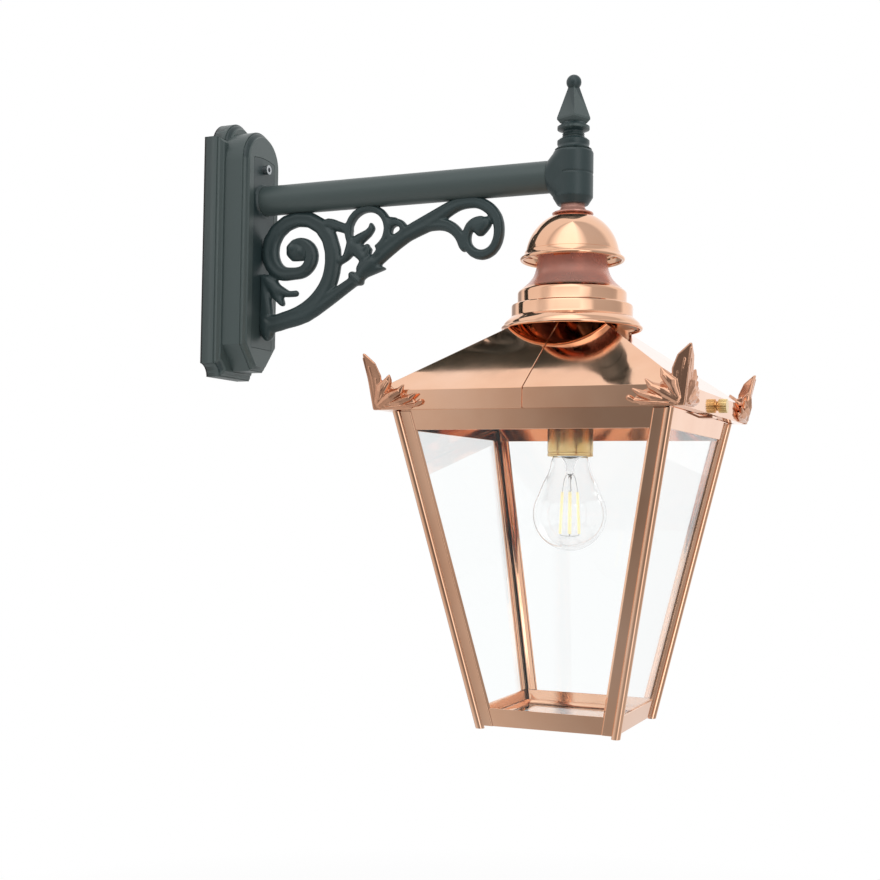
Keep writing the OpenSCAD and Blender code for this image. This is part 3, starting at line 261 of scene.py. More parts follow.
def polished_brass(look):
    """Turned and polished brass: warm yellow with fine turning marks and slight darkening."""
    material, tree, shader, where = begin("turned_polished_brass")
    cloud = noise(tree, where, 9, 3)
    marks = noise(tree, where, 0.5, 2, 0.5, (4, 0.2, 0.2))
    colour = ramp(tree, cloud, [(0.3, look.brass_dark), (0.7, look.brass)])
    feed(tree, shader, Base_Color=colour, Metallic=1.0, Roughness=spread(tree, cloud, 0.16, 0.28))
    bump(tree, shader, [(marks, 0.02, 0.25)])
    return material


def zinc_steel():
    """Zinc-plated steel: cool grey, a faint spangle and a brushed grain."""
    material, tree, shader, where = begin("zinc_plated_steel")
    spangle = noise(tree, where, 5, 2)
    grain = noise(tree, where, 0.6, 2, 0.5, (1, 8, 1))
    colour = ramp(tree, spangle, [(0.3, tone("#a9adb0")), (0.7, tone("#c6c9ca"))])
    feed(tree, shader, Base_Color=colour, Metallic=1.0, Roughness=spread(tree, spangle, 0.26, 0.4))
    bump(tree, shader, [(grain, 0.02, 0.3)])
    return material


def clear_glass(name, tint):
    """Clear glass: nearly no tint, a very slight waviness and a few dust specks that dull it."""
    material, tree, shader, where = begin(name)
    dust = noise(tree, where, 2.2, 3)
    feed(tree, shader, Base_Color=tint, Metallic=0.0, IOR=1.36, Transmission_Weight=1.0,
         Specular_IOR_Level=0.3, Roughness=spread(tree, dust, 0.0, 0.03, 0.6, 0.8))
    bump(tree, shader, [(noise(tree, where, 60, 0), 0.05, 0.12)])
    return material


def filament_phosphor():
    """Silicone and phosphor coat over the bulb's light strips: pale yellow, matt and lumpy, with a
    faint painted glow.
    """
    material, tree, shader, where = begin("phosphor_coated_strip")
    lumps = noise(tree, where, 1.2, 2)
    colour = ramp(tree, lumps, [(0.3, tone("#f6e6a4")), (0.7, tone("#fdf5cf"))])
    # The emission is a faint painted glow that brightens the strips
    feed(tree, shader, Base_Color=colour, Roughness=0.5, Subsurface_Weight=0.3,
         Subsurface_Scale=0.6 * MM, Emission_Color=tone("#fff3c4"), Emission_Strength=0.7)
    bump(tree, shader, [(lumps, 0.1, 0.4)])
    return material


def plain_moulding(name, light, dark, rough, size):
    """Moulded plastic, rubber or glazed porcelain: nearly even colour with a fine surface grain."""
    material, tree, shader, where = begin(name)
    cloud = noise(tree, where, size, 3)
    grain = noise(tree, where, 0.8, 2)
    feed(tree, shader, Base_Color=ramp(tree, cloud, [(0.3, tone(dark)), (0.7, tone(light))]),
         Roughness=spread(tree, cloud, rough * 0.85, rough * 1.15))
    bump(tree, shader, [(grain, 0.03, 0.25)])
    return material


FINISHES = {}


def finishes(look):
    """Every finish of the light, made once."""
    if not FINISHES:
        FINISHES.update({
            "painted_casting": satin_powder_coat(look),
            "copper_sheet": polished_copper(look, "folded_copper_sheet", 0.4),
            "spun_copper": polished_copper(look, "spun_copper", 0.05, 0.02),
            # The chimney's drum is rougher and less metallic, and darker in colour as painted shade
            # under the dome
            "chimney_copper": polished_copper(look, "spun_copper_with_dull_drum_and_painted_shade", 0.05, 0.02,
                                              dull=DRUM),
            "cast_copper": polished_copper(look, "copper_plated_casting", 0.1, cast=0.12),
            "brass": polished_brass(look),
            "steel": zinc_steel(),
            "clear_glass": clear_glass("float_glass", look.glass_tint),
            "bulb_glass": clear_glass("blown_bulb_glass", WHITE),
            "filament": filament_phosphor(),
            "porcelain": plain_moulding("glazed_porcelain", "#efece4", "#e4e0d5", 0.14, 18),
            "thermoplastic": plain_moulding("moulded_nylon", "#e9e7de", "#dcdad0", 0.42, 12),
            "gasket_rubber": plain_moulding("moulded_rubber", "#262626", "#1b1b1b", 0.7, 10),
            "lead_sleeve": plain_moulding("sleeved_lead", "#e8e5dc", "#dad6cb", 0.5, 8),
        })
    return FINISHES


# ---------------------------------------------------------------- modelling helpers

def alone(obj):
    """Makes one object the only one selected."""
    bpy.ops.object.select_all(action="DESELECT")
    obj.hide_set(False)
    obj.select_set(True)
    bpy.context.view_layer.objects.active = obj


def apply(obj, kind, **settings):
    """Adds a modifier and applies it."""
    alone(obj)
    modifier = obj.modifiers.new(kind.lower(), kind)
    for name, value in settings.items():
        setattr(modifier, name, value)
    bpy.ops.object.modifier_apply(modifier=modifier.name)


def done(obj, body, finish, *nodes, smooth=35, slot=None, flat=False):
    """Shades a finished piece, gives it its material and lets it ride on its body. With flat, broad
    faces stay flat to the eye and only the rounded edges between them turn the light."""
    alone(obj)
    bpy.ops.object.shade_smooth_by_angle(angle=math.radians(smooth))
    if flat:
        apply(obj, "WEIGHTED_NORMAL", mode="FACE_AREA", weight=80, keep_sharp=True)
    obj.data.materials.clear()
    obj.data.materials.append(FINISHES[finish])
    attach(obj, body)
    if nodes:
        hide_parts(*nodes)
    return obj


def copied(node, name, joined=True):
    """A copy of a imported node, its triangles merged and, if joined, its flat faces made one."""
    obj = bpy.data.objects.new(name, frame["nodes"][node].data.copy())
    bpy.context.scene.collection.objects.link(obj)
    alone(obj)
    bpy.ops.object.mode_set(mode="EDIT")
    bpy.ops.mesh.select_all(action="SELECT")
    bpy.ops.mesh.remove_doubles(threshold=2e-6)
    if joined:
        bpy.ops.mesh.dissolve_limited(angle_limit=math.radians(0.4))
    bpy.ops.object.mode_set(mode="OBJECT")
    return obj


def break_edges(obj, width, segments=2, behind=None):
    """Rounds an object's sharp outer edges by width, but none within behind of the wall."""
    shape = bmesh.new()
    shape.from_mesh(obj.data)
    weight = shape.edges.layers.float.new("bevel_weight_edge")
    for edge in shape.edges:
        sharp = len(edge.link_faces) == 2 and edge.calc_face_angle_signed(0) > math.radians(28)
        middle = (edge.verts[0].co.y + edge.verts[1].co.y) / 2
        if sharp and (behind is None or middle < -behind * MM):
            edge[weight] = 1
    shape.to_mesh(obj.data)
    shape.free()
    apply(obj, "BEVEL", width=width * MM, segments=segments, limit_method="WEIGHT",
          use_clamp_overlap=True)


def eased(node, name, width, body, finish, segments=2, smooth=35, behind=None):
    """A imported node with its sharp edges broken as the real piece's are."""
    obj = copied(node, name)
    break_edges(obj, width, segments, behind)
    return done(obj, body, finish, node, smooth=smooth, flat=True)


def poured(node, name, voxel, rounds, body, finish, grow=0.0, extra=None):
    """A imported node, and an extra shape with it, melted into one soft casting: remeshed finely,
    smoothed, and grown back by what that took."""
    obj = copied(node, name, joined=False)
    if extra:
        alone(extra)
        obj.select_set(True)
        bpy.context.view_layer.objects.active = obj
        bpy.ops.object.join()
    obj.data.remesh_voxel_size = voxel * MM
    bpy.ops.object.voxel_remesh()
    apply(obj, "SMOOTH", factor=0.5, iterations=rounds)
    if grow:
        apply(obj, "DISPLACE", strength=grow * MM, mid_level=0.0, direction="NORMAL")
    return done(obj, body, finish, node, smooth=60)


def wire(name, runs, radius):
    """Round wire along runs of points in millimetres from the eave's middle."""
    data = bpy.data.curves.new(name, "CURVE")
    data.dimensions = "3D"
    data.bevel_depth = radius * MM
    data.bevel_resolution = 2
    data.use_fill_caps = True
    for run in runs:
        spline = data.splines.new("POLY")
        spline.points.add(len(run) - 1)
        for point, (x, y, z) in zip(spline.points, run):
            point.co = (AXIS.x + x * MM, AXIS.y + y * MM, AXIS.z + z * MM, 1)
    obj = bpy.data.objects.new(name, data)
    bpy.context.scene.collection.objects.link(obj)
    alone(obj)
    bpy.ops.object.convert(target="MESH")
    return bpy.context.object


def lathe(name, *outlines, steps=128):
    """Spins closed outlines of (radius, height over the eave) in millimetres round the axis."""
    mesh = bpy.data.meshes.new(name)
    obj = bpy.data.objects.new(name, mesh)
    bpy.context.scene.collection.objects.link(obj)
    points, edges = [], []
    for outline in outlines:
        first, count = len(points), len(outline)
        points += [AXIS + Vector((r * MM, 0, z * MM)) for r, z in outline]
        edges += [(first + i, first + (i + 1) % count) for i in range(count)]
    mesh.from_pydata(points, edges, [])
    alone(obj)
    bpy.ops.object.mode_set(mode="EDIT")
    bpy.ops.mesh.select_all(action="SELECT")
    bpy.ops.mesh.spin(steps=steps, angle=math.tau, center=tuple(AXIS), axis=(0, 0, 1))
    bpy.ops.mesh.select_all(action="SELECT")
    bpy.ops.mesh.remove_doubles(threshold=1e-6)
    bpy.ops.mesh.dissolve_degenerate(threshold=1e-7)
    bpy.ops.mesh.normals_make_consistent(inside=False)
    bpy.ops.object.mode_set(mode="OBJECT")
    return obj


def ring_of(r, z, radius, n=14):
    """The round section of a rolled bead."""
    turns = [math.tau * i / n for i in range(n)]
    return [(r + radius * math.cos(a), z + radius * math.sin(a)) for a in turns]


def curve_through(points, n):
    """A smooth run through knots, with n steps from each to the next."""
    run = []
    for i in range(len(points) - 1):
        a, b = points[max(i - 1, 0)], points[i]
        c, d = points[i + 1], points[min(i + 2, len(points) - 1)]
        for t in [j / n for j in range(n)]:
            run.append(tuple(
                (2 * q + (r - p) * t + (2 * p - 5 * q + 4 * r - s) * t * t
                 + (3 * q - p - 3 * r + s) * t ** 3) / 2
                for p, q, r, s in zip(a, b, c, d)))
    return run + [tuple(points[-1])]


def shelled(outline, thick):
    """Closes a run of (radius, height) down the outside with one back up the inside."""
    inner = []
    for i in range(len(outline) - 1, -1, -1):
        a, b = outline[max(i - 1, 0)], outline[min(i + 1, len(outline) - 1)]
        t = Vector((b[0] - a[0], b[1] - a[1])).normalized()
        inner.append((outline[i][0] + thick * t.y, outline[i][1] - thick * t.x))
    return list(outline) + inner


# ---------------------------------------------------------------- the user's sizes and colours

def shade(name, description, code):
    """A colour that the user may change; code is its default as an sRGB hex value."""
    return bpy.props.FloatVectorProperty(name=name, description=description, subtype="COLOR",
                                         size=4, min=0, max=1, default=tone(code))


def length(name, description, default, low, high):
    """A length that the user may change, between low and high, all three given in millimetres."""
    return bpy.props.FloatProperty(name=name, description=description, unit="LENGTH", precision=5,
                                   default=default * MM, min=low * MM, max=high * MM)


class LanternLook(bpy.types.PropertyGroup):
    """Colours of the light's finishes."""
    paint: shade("Paint", "Powder coat", "#2f3f41")
    paint_dark: shade("Paint, shaded", "Powder coat in its darker clouds", "#283637")
    paint_rubbed: shade("Paint, rubbed", "Powder coat on rubbed high spots", "#4a5655")
    copper: shade("Copper", "Polished copper", "#f1c0a0")
    copper_dark: shade("Copper, shaded", "Copper in its darker clouds", "#e8b08e")
    copper_light: shade("Copper, bright", "Copper in its brighter clouds", "#f6cbb0")
    # The drum's darker colour is painted shade under the dome, on copper that is truly duller there
    copper_dull_and_shade: shade("Copper, dull", "Unpolished copper under the dome", "#dba596")
    copper_cast: shade("Copper, cast", "Plated castings in their hollows", "#b3765a")
    brass: shade("Brass", "Polished brass", "#ead09a")
    brass_dark: shade("Brass, shaded", "Brass in its darker clouds", "#d6b272")
    glass_tint: shade("Glass tint", "Colour of the panes", "#feffff")


class LanternSizes(bpy.types.PropertyGroup):
    """Sizes of the fine work that the finisher adds."""
    edge_break: length("Edge break", "Rounding of folded sheet edges", 0.3, 0.05, 0.6)
    casting_round: length("Casting round", "Rounding of cast edges", 0.9, 0.2, 2.0)
    scroll_voxel: length("Scroll voxel", "Fineness of the scroll casting", 0.8, 0.5, 2.0)
    leaf_voxel: length("Leaf voxel", "Fineness of the leaf castings", 0.4, 0.3, 1.0)
    hub_voxel: length("Hub voxel", "Fineness of the hub casting", 0.5, 0.3, 1.0)
    sheet: length("Sheet", "Thickness of the spun copper", 1.0, 0.5, 1.5)
    seam_gap: length("Seam gap", "Open gap between the roof halves", 0.9, 0.1, 1.2)


def size(name):
    """One of the user's sizes, in millimetres."""
    return getattr(bpy.context.scene.lantern_sizes, name) / MM


# ---------------------------------------------------------------- the stage

class LANTERN_OT_stage(bpy.types.Operator):
    """Sets the camera of the photograph, a pale floor, a white surround and soft lamps"""
    bl_idname = "lantern.stage"
    bl_label = "Stage"

    def execute(self, context):
        scene = context.scene
        scene.view_settings.view_transform = "Standard"
        self.camera(scene)
        self.floor(context)
        self.surround(scene)
        self.lamps(scene)
        return {"FINISHED"}

    def camera(self, scene):
        """The camera, where the photograph's stood."""
        ahead = Vector((math.cos(CAMERA_PITCH) * math.cos(CAMERA_YAW),
                        math.cos(CAMERA_PITCH) * math.sin(CAMERA_YAW), math.sin(CAMERA_PITCH)))
        right = ahead.cross(Vector((0, 0, 1))).normalized()
        up = right.cross(ahead)
        across = right * math.cos(CAMERA_ROLL) + up * math.sin(CAMERA_ROLL)
        upward = up * math.cos(CAMERA_ROLL) - right * math.sin(CAMERA_ROLL)
        data = bpy.data.cameras.new("camera")
        data.sensor_width = SENSOR_MM
        data.lens = FOCAL_PX / IMAGE_PX * SENSOR_MM
        data.clip_start, data.clip_end = 0.05, 60
        camera = bpy.data.objects.new("camera", data)
        scene.collection.objects.link(camera)
        turn = Matrix((across, upward, -ahead)).transposed().to_4x4()
        camera.matrix_world = Matrix.Translation(CAMERA_AT) @ turn
        scene.camera = camera

    def floor(self, context):
        """A pale floor that keeps the light's shadow and turns to white further out."""
        bpy.ops.mesh.primitive_plane_add(size=FLOOR_SIDE, location=(0, 0, 0))
        floor = context.object
        floor.name = "floor"
        for vertex in floor.data.vertices:
            vertex.co += Vector(FLOOR_AT)
        material, tree, shader, where = begin("pale_studio_floor")
        feed(tree, shader, Base_Color=tone("#eeeeed"), Roughness=0.9)
        away = add(tree, "ShaderNodeVectorMath", {0: where, 1: FLOOR_AT}, operation="DISTANCE")
        far = spread(tree, away.outputs["Value"], 0.6, 1.0, 0.7, 1.9)
        sees = rays(tree, "Is Camera Ray", "Is Transmission Ray", "Is Glossy Ray")
        factor = add(tree, "ShaderNodeMath", {0: sees, 1: far}, operation="MULTIPLY").outputs[0]
        outward = add(tree, "ShaderNodeVectorMath", {0: where, 1: (*FLOOR_AT[:2], 0)},
                      operation="SUBTRACT").outputs[0]
        path = add(tree, "ShaderNodeLightPath").outputs
        off_gloss = add(tree, "ShaderNodeMath", {
            0: path["Is Glossy Ray"], 1: path["Is Transmission Ray"]},
            operation="SUBTRACT", use_clamp=True).outputs[0]
        seen = mix(tree, off_gloss, WHITE, studio_ring(tree, outward, STUDIO_LEVEL, FLOOR_SHARE))
        white = add(tree, "ShaderNodeEmission", {"Color": seen, "Strength": 1.0}).outputs[0]
        both = add(tree, "ShaderNodeMixShader", {0: factor, 1: shader.outputs[0], 2: white})
        tree.links.new(both.outputs[0], tree.nodes["Material Output"].inputs["Surface"])
        floor.data.materials.append(material)

    def surround(self, scene):
        """A soft white surround; gloss sees it with a studio's pale and dark parts."""
        world = bpy.data.worlds.new("soft_surround")
        world.use_nodes = True
        scene.world = world
        tree = world.node_tree
        way = add(tree, "ShaderNodeTexCoord").outputs["Generated"]
        height = add(tree, "ShaderNodeSeparateXYZ", {"Vector": way}).outputs["Z"]
        lift = spread(tree, height, 0.0, 1.0, 0.24, 0.46)
        studio = mix(tree, lift, studio_ring(tree, way, STUDIO_LEVEL),
                     studio_ring(tree, way, STUDIO_ABOVE))
        light = mix(tree, rays(tree, "Is Glossy Ray"), AMBIENT, studio)
        seen = rays(tree, "Is Camera Ray", "Is Transmission Ray")
        tree.links.new(mix(tree, seen, light, WHITE), tree.nodes["Background"].inputs["Color"])

    def lamps(self, scene):
        """Soft lamps, which gloss doesn't see."""
        for name, place, width, height, power in LAMPS:
            lamp = bpy.data.lights.new(name, "AREA")
            lamp.shape = "RECTANGLE"
            lamp.size, lamp.size_y, lamp.energy = width, height, power
            held = bpy.data.objects.new(name, lamp)
            scene.collection.objects.link(held)
            held.location = place
            held.visible_glossy = False
            way = LAMPS_FACE - Vector(place)
            held.rotation_euler = way.to_track_quat("-Z", "Y").to_euler()


def rays(tree, *kinds):
    """1 for rays of any of these kinds, as Light Path names them."""
    path = add(tree, "ShaderNodeLightPath").outputs
    found = path[kinds[0]]
    for kind in kinds[1:]:
        found = add(tree, "ShaderNodeMath", {0: found, 1: path[kind]},
                    operation="MAXIMUM").outputs[0]
    return found


def studio_ring(tree, way, stops, share=1.0):
    """The level of the ring of stops in the direction that a vector points, times share."""
    part = add(tree, "ShaderNodeSeparateXYZ", {"Vector": way}).outputs
    bearing = add(tree, "ShaderNodeMath", {0: part["Y"], 1: part["X"]}, operation="ARCTAN2")
    turn = spread(tree, bearing.outputs[0], 0.0, 1.0, -math.pi, math.pi)
    return ramp(tree, turn, [((angle + 180) / 360, (level * share, level * share, level * share, 1))
                             for angle, level in stops])


# ---------------------------------------------------------------- the pieces

class LANTERN_OT_castings(bpy.types.Operator):
    """Rounds the edges of the wall plate, arm plate and finial, and melts the hub round its drum"""
    bl_idname = "lantern.castings"
    bl_label = "Wall plate, arm plate, hub and finial"

    def execute(self, context):
        paint = "painted_casting"
        soft = size("casting_round")
        eased("wall_plate", "wall_plate_cast", soft, ROOT, paint, 3, behind=4)
        eased("arm_plate", "arm_plate_cast", soft / 2, ROOT, paint)

        low, high, _ = span("arm_hub")
        axis = (TUBE_HIGH.z + TUBE_LOW.z - 2 * EAVE_Z) / 2 / MM
        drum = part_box("arm_hub")[1].x / MM
        # The foot and its chamfer, the lower drum, the groove level with the arm, the upper drum
        turned = [(8, low + 0.1), (12.4, low + 0.1), (12.9, low + 0.4), (drum - 0.3, low + 5.9),
                  (drum + 0.06, low + 6.6), (drum + 0.06, axis - 0.5),
                  (drum - 0.6, axis - 0.1), (drum - 0.6, axis + 0.5),
                  (drum + 0.16, axis + 0.9), (drum + 0.16, high - 2.0),
                  (drum - 0.5, high - 0.7), (drum - 1.7, high - 0.06), (8, high - 0.06)]
        shell = lathe("arm_hub_drum", turned, steps=144)
        poured("arm_hub", "arm_hub_cast", size("hub_voxel"), 6, ROOT, paint, 0.04, shell)
        eased("finial", "finial_cast", 0.5, ROOT, paint, 3, smooth=30)
        return {"FINISHED"}


class LANTERN_OT_scroll(bpy.types.Operator):
    """Melts the scroll casting into one poured form"""
    bl_idname = "lantern.scroll"
    bl_label = "Scroll casting"

    def execute(self, context):
        poured("scroll_bracket", "scroll_casting", size("scroll_voxel"), 30, ROOT,
               "painted_casting", 0.3)
        return {"FINISHED"}


class LANTERN_OT_leaves(bpy.types.Operator):
    """Melts the lobes of the four cast corner leaves together, with a vein down each"""
    bl_idname = "lantern.leaves"
    bl_label = "Corner leaves"

    def execute(self, context):
        corner = (FRONT_HIGH.x - FRONT_LOW.x) / 2 / MM
        # The tall lobe's section at each height: how far in its spine lies, how far along the side
        # it reaches and how far out. Its veins run at these shares of its width.
        tall = [(2, 1.2, 3.4, 1.8), (13, 2.8, 6.0, 4.1), (24, 4.4, 5.8, 5.9), (33, 6.2, 3.0, 7.2),
                (40, 7.6, -3.4, 8.2)]
        veins = []
        for share in (0.0, 0.36, 0.7):
            edge = [(-inner + (along + inner) * share, -inner + (inner - out) * share, z)
                    for z, inner, along, out in tall[:5 - int(share * 3)]]
            veins.append(edge)
            if share:
                veins.append([(y, x, z) for x, y, z in edge])
        for lobe in ([(5, -4.6, 8), (9, -6.6, 16), (12.6, -7.4, 21.6)],
                     [(8, -4.4, 6.4), (16, -6.2, 11), (22, -6, 14)],
                     [(14, -3.6, 4.4), (23, -5.2, 7), (30, -4.6, 9)],
                     [(10, -3.0, 1.6), (24, -3.2, 2.6), (34, -3, 3.6)]):
            veins += [lobe, [(y, x, z) for x, y, z in lobe]]
        veins = [curve_through(vein, 6) for vein in veins]
        for i in range(1, 5):
            turn = math.radians(90 * (i - 1))
            across, along = math.cos(turn), math.sin(turn)
            placed = [[((x - corner) * across - (y - corner) * along,
                        (x - corner) * along + (y - corner) * across, z) for x, y, z in vein]
                      for vein in veins]
            poured(f"corner_leaf_{i}", f"corner_leaf_cast_{i}", size("leaf_voxel"), 9, ROOT,
                   "cast_copper", 0.07, wire(f"leaf_veins_{i}", placed, 0.65))
        return {"FINISHED"}


class LANTERN_OT_spinning(bpy.types.Operator):
    """Spins the neck collar, the dome with its rolled rim and the chimney with its steps"""
    bl_idname = "lantern.spinning"
    bl_label = "Spun collar, dome and chimney"

    def execute(self, context):
        bore = (STEM_HIGH.x - STEM_LOW.x) / 2 / MM
        self.collar(bore)
        self.dome(bore, size("sheet"))
        self.chimney(size("sheet"))
        return {"FINISHED"}

    def collar(self, bore):
        """A trumpet with a thin flange."""
        low, high, flange = span("neck_collar")
        trumpet = curve_through([
            (flange - 0.2, low + 1.0), (flange - 0.9, low + 1.5), (flange - 3.0, low + 2.1),
            (flange - 5.2, low + 3.1), (flange - 6.6, low + 4.7), (flange - 7.2, low + 6.4),
            (flange - 7.4, high)], 4)
        under = [(bore, low), (flange - 1, low), (flange - 0.2, low + 0.3)]
        obj = lathe("neck_collar_spun", under + trumpet + [(bore, high)])
        # The collar lies above the drum's heights and takes the drum's darker colour all over
        done(obj, ROOT, "chimney_copper", "neck_collar")

    def dome(self, bore, wall):
        """Part of a ball with a flat top, a small step and a flared rim rolled over a wire."""
        ball, flat, foot = 38.7, 13.5, math.radians(7.6)
        middle = DOME_HIGH - math.sqrt(ball ** 2 - flat ** 2)
        start = math.acos(flat / ball)
        turns = [start + (foot - start) * i / 30 for i in range(31)]
        arch = [(ball * math.cos(a), middle + ball * math.sin(a)) for a in turns]
        side_r, side_z = arch[-1]
        flare = curve_through([
            (side_r + 0.9, side_z - 0.5), (side_r + 1.15, side_z - 1.3),
            (side_r + 1.5, side_z - 2.4), (side_r + 2.4, side_z - 4.0),
            (side_r + 3.4, side_z - 5.2)], 5)
        outline = shelled(arch + [(side_r + 0.25, side_z - 0.2)] + flare, wall)
        rim = ring_of(DOME_R - 1.6, DOME_LOW + 1.6, 1.55, 18)
        top = [(bore, DOME_HIGH - wall), (flat + 0.1, DOME_HIGH - wall), (flat + 0.1, DOME_HIGH),
               (bore, DOME_HIGH)]
        obj = lathe("dome_spun", outline, rim, top)
        done(obj, ROOT, "spun_copper", "dome_cap", smooth=40)

    def chimney(self, wall):
        """A waisted drum, two steps and a skirt rolled over a wire. The run's heights are in
        seventy-fifths of the chimney's own, from its rolled edge up."""
        edge, base = CHIMNEY_R - 1.4, CHIMNEY_LOW + 1.4
        first, second, drum = CHIMNEY_R * 0.773, CHIMNEY_R * 0.859, 29.9
        up = (CHIMNEY_HIGH - base) / 75
        waist = curve_through([
            (drum - 1.6, 75), (drum - 1.4, 62), (drum - 0.9, 54), (drum + 0.4, 47.5),
            (drum + 2.6, 42), (drum + 6.2, 37.4), (first - 4.4, 33.4), (first - 2.4, 31.6)], 5)
        steps = [(first - 1.2, 30.6), (first - 0.35, 29.6), (first, 28.2), (first, 21),
                 (first + 0.3, 20), (first + 1.1, 19.5), (second - 1.1, 19.1),
                 (second - 0.35, 18.5), (second, 17.3), (second, 10), (second + 0.3, 8.9)]
        skirt = curve_through([
            (second + 1.1, 8.2), (second + 3.2, 6.4), (second + 5.6, 3.9), (edge, 1)], 5)
        outline = [(r, base + z * up) for r, z in waist + steps + skirt]
        bead = ring_of(edge, base, 1.35, 18)
        obj = lathe("chimney_spun", shelled(outline, wall), bead, steps=160)
        done(obj, ROOT, "chimney_copper", "chimney", smooth=28)


class LANTERN_OT_sheetwork(bpy.types.Operator):
    """Rounds the edges of the folded roof halves, rails and posts, opens the roof's seam, and
    breaks the thumb screw's
    """
    bl_idname = "lantern.sheetwork"
    bl_label = "Roof and cage sheetwork"

    def execute(self, context):
        width = size("edge_break")
        for node, away in (("roof_half_front", -1), ("roof_half_wall", 1)):
            obj = copied(node, node + "_folded")
            for vertex in obj.data.vertices:
                if abs(vertex.co.y - AXIS.y) < 0.3 * MM:
                    vertex.co.y += away * size("seam_gap") / 2 * MM
            break_edges(obj, width * 1.5)
            done(obj, ROOT, "copper_sheet", node, flat=True)
        for i in range(1, 5):
            for part in ("corner_post", "top_rail", "foot_rail"):
                eased(f"{part}_{i}", f"{part}_folded_{i}", width, CAGE, "copper_sheet")
        eased("thumb_screw", "thumb_screw_knurled", width, SCREW, "brass")
        return {"FINISHED"}


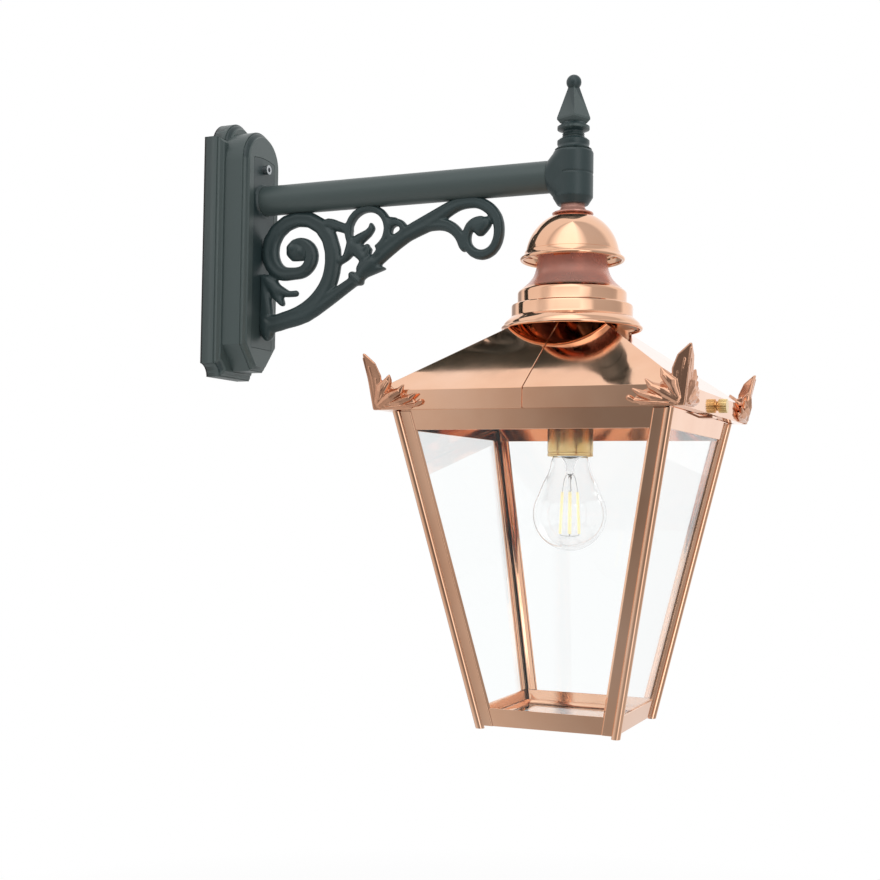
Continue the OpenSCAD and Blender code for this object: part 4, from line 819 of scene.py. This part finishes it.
class LANTERN_OT_lamp(bpy.types.Operator):
    """Spins the lampholder's rolled shell and the bulb, and strings its filament strips"""
    bl_idname = "lantern.lamp"
    bl_label = "Lampholder and bulb"

    def execute(self, context):
        self.holder()
        self.cap()
        foot = self.envelope()
        self.mount(foot)
        self.strips(foot)
        return {"FINISHED"}

    def holder(self):
        """The lampholder: a rolled mouth, a bead, a straight side and a shouldered neck."""
        mouth, top, radius = span("lampholder_shell")
        bore, inner = 6.5, radius - 1.2
        outside = [(inner, mouth + 0.9), (radius - 0.3, mouth + 0.9), (radius, mouth + 1.6),
                   (radius, mouth + 2.6), (radius - 0.35, mouth + 3.0),
                   (radius - 0.35, mouth + 3.6), (radius, mouth + 4.0), (radius, -2.4),
                   (radius - 0.2, -0.8), (radius - 0.9, 1), (radius - 2.2, 2.9),
                   (radius - 4, 4.6), (11.5, 6.4), (10.4, 7.2), (10, 8.2), (10, top)]
        inside = [(bore, top), (bore, 4), (9, 3.4), (radius - 5, 1.6), (inner - 0.8, -1),
                  (inner, -2.4)]
        mouth_roll = ring_of(radius - 0.7, mouth + 0.7, 0.7, 12)
        obj = lathe("lampholder_spun", outside + inside, mouth_roll, steps=96)
        done(obj, ROOT, "brass", "lampholder_shell")

    def cap(self):
        """The bulb's cap with its rolled thread."""
        low, high, radius = span("bulb_cap")
        low += 1.4
        thread = [(radius - 0.15 - 0.55 * (1 + math.cos(math.tau * i / 8)) / 2, high - 4 - i * 0.45)
                  for i in range(33)]
        top = [(0, high), (4.2, high), (4.8, high - 0.5), (7.4, high - 2.4), (9.6, high - 3.2),
               (radius - 1.3, high - 3.4)]
        skirt = [(radius - 0.3, high - 19.5), (radius - 0.2, low), (0, low)]
        obj = lathe("bulb_cap_threaded", top + thread + skirt, steps=64)
        done(obj, ROOT, "steel", "bulb_cap")

    def envelope(self):
        """The blown envelope; gives the height of its neck's end."""
        low, foot, ball = span("bulb_glass")
        neck = [(13.2, foot + 1.2), (14.6, foot - 1.0), (15.6, foot - 4.2), (16.6, foot - 9.2),
                (18.6, foot - 15.2), (22.0, foot - 21.6)]
        bowl = [(ball * math.cos(math.radians(a)), low + ball + ball * math.sin(math.radians(a)))
                for a in (30, 22, 12, 0, -12, -24, -36, -48, -60, -72, -82)]
        wall = shelled(curve_through(neck + bowl, 4) + [(0.02, low)], 0.5)
        obj = lathe("bulb_envelope", wall[:-1] + [(12.7, foot + 1.2)], steps=96)
        done(obj, ROOT, "bulb_glass", "bulb_glass", smooth=80)
        return foot

    def mount(self, foot):
        """The flared glass mount, with the pinch and the rod below it."""
        flare = curve_through([(11.6, foot + 0.6), (8.4, foot - 0.6), (5.2, foot - 3.2),
                               (3.6, foot - 7), (3.1, foot - 12)], 4)
        rod = [(3.1, foot - 13.4), (2.2, foot - 14.6), (1.3, foot - 15.4), (1.2, foot - 25),
               (1.9, foot - 26.4), (1.5, foot - 28), (0.02, foot - 28.4), (0.02, foot - 13.2)]
        obj = lathe("bulb_mount", shelled(flare, 0.6), rod, steps=48)
        done(obj, ROOT, "bulb_glass", "bulb_stem", smooth=60)

    def strips(self, foot):
        """Four phosphor-coated strips, and the wires that carry and join them."""
        head, tail = (6.2, foot - 29), (7.8, foot - 63)
        strip = [(head[0] + (tail[0] - head[0]) * k / 6, head[1] + (tail[1] - head[1]) * k / 6)
                 for k in range(7)]
        upper = [(1.0, foot - 14), (3.2, foot - 15.5), (4.6, foot - 18.5), (6.0, foot - 27), head]
        lower = [tail, (7.4, foot - 64.4), (3.0, foot - 65), (0.1, foot - 65)]
        strips, wires = [], []
        for i in range(4):
            a = math.radians(20 + 90 * i)
            for run, group in ((strip, strips), (upper, wires), (lower, wires)):
                group.append([(math.cos(a) * r, math.sin(a) * r, z) for r, z in run])
        wires.append([(0, 0, foot - 28), (0, 0, foot - 46), (0, 0, foot - 65)])
        done(wire("bulb_strips", strips, 1.05), ROOT, "filament", "bulb_filaments", smooth=60)
        done(wire("bulb_wires", wires, 0.22), ROOT, "steel", smooth=60, slot="steel")


class LANTERN_OT_finish_rest(bpy.types.Operator):
    """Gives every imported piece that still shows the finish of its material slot"""
    bl_idname = "lantern.finish_rest"
    bl_label = "Finish the other pieces"

    def execute(self, context):
        for name, obj in frame["nodes"].items():
            obj.data.materials.clear()
            obj.data.materials.append(FINISHES[SLOTS[name]])
            if not obj.hide_render:
                alone(obj)
                bpy.ops.object.shade_smooth_by_angle(angle=math.radians(32))
        return {"FINISHED"}


class LANTERN_PT_panel(bpy.types.Panel):
    """Lists the light's colours and sizes and the steps that build it"""
    bl_label = "Wall Lantern"
    bl_idname = "LANTERN_PT_panel"
    bl_space_type = "VIEW_3D"
    bl_region_type = "UI"
    bl_category = "Wall Lantern"

    def draw(self, context):
        layout = self.layout
        for group in (context.scene.lantern_look, context.scene.lantern_sizes):
            for key in group.__annotations__:
                layout.prop(group, key)
        for operator in STEPS:
            layout.operator(operator.bl_idname)


STEPS = (LANTERN_OT_stage, LANTERN_OT_castings, LANTERN_OT_scroll, LANTERN_OT_leaves,
         LANTERN_OT_spinning, LANTERN_OT_sheetwork, LANTERN_OT_lamp, LANTERN_OT_finish_rest)
CLASSES = (LanternLook, LanternSizes) + STEPS + (LANTERN_PT_panel,)


def register():
    for cls in CLASSES:
        bpy.utils.register_class(cls)
    bpy.types.Scene.lantern_look = bpy.props.PointerProperty(type=LanternLook)
    bpy.types.Scene.lantern_sizes = bpy.props.PointerProperty(type=LanternSizes)


def unregister():
    del bpy.types.Scene.lantern_sizes
    del bpy.types.Scene.lantern_look
    for cls in reversed(CLASSES):
        bpy.utils.unregister_class(cls)


def main():
    register()
    finishes(bpy.context.scene.lantern_look)
    for operator in STEPS:
        group, name = operator.bl_idname.split(".")
        getattr(getattr(bpy.ops, group), name)()


if __name__ == "__main__":
    main()
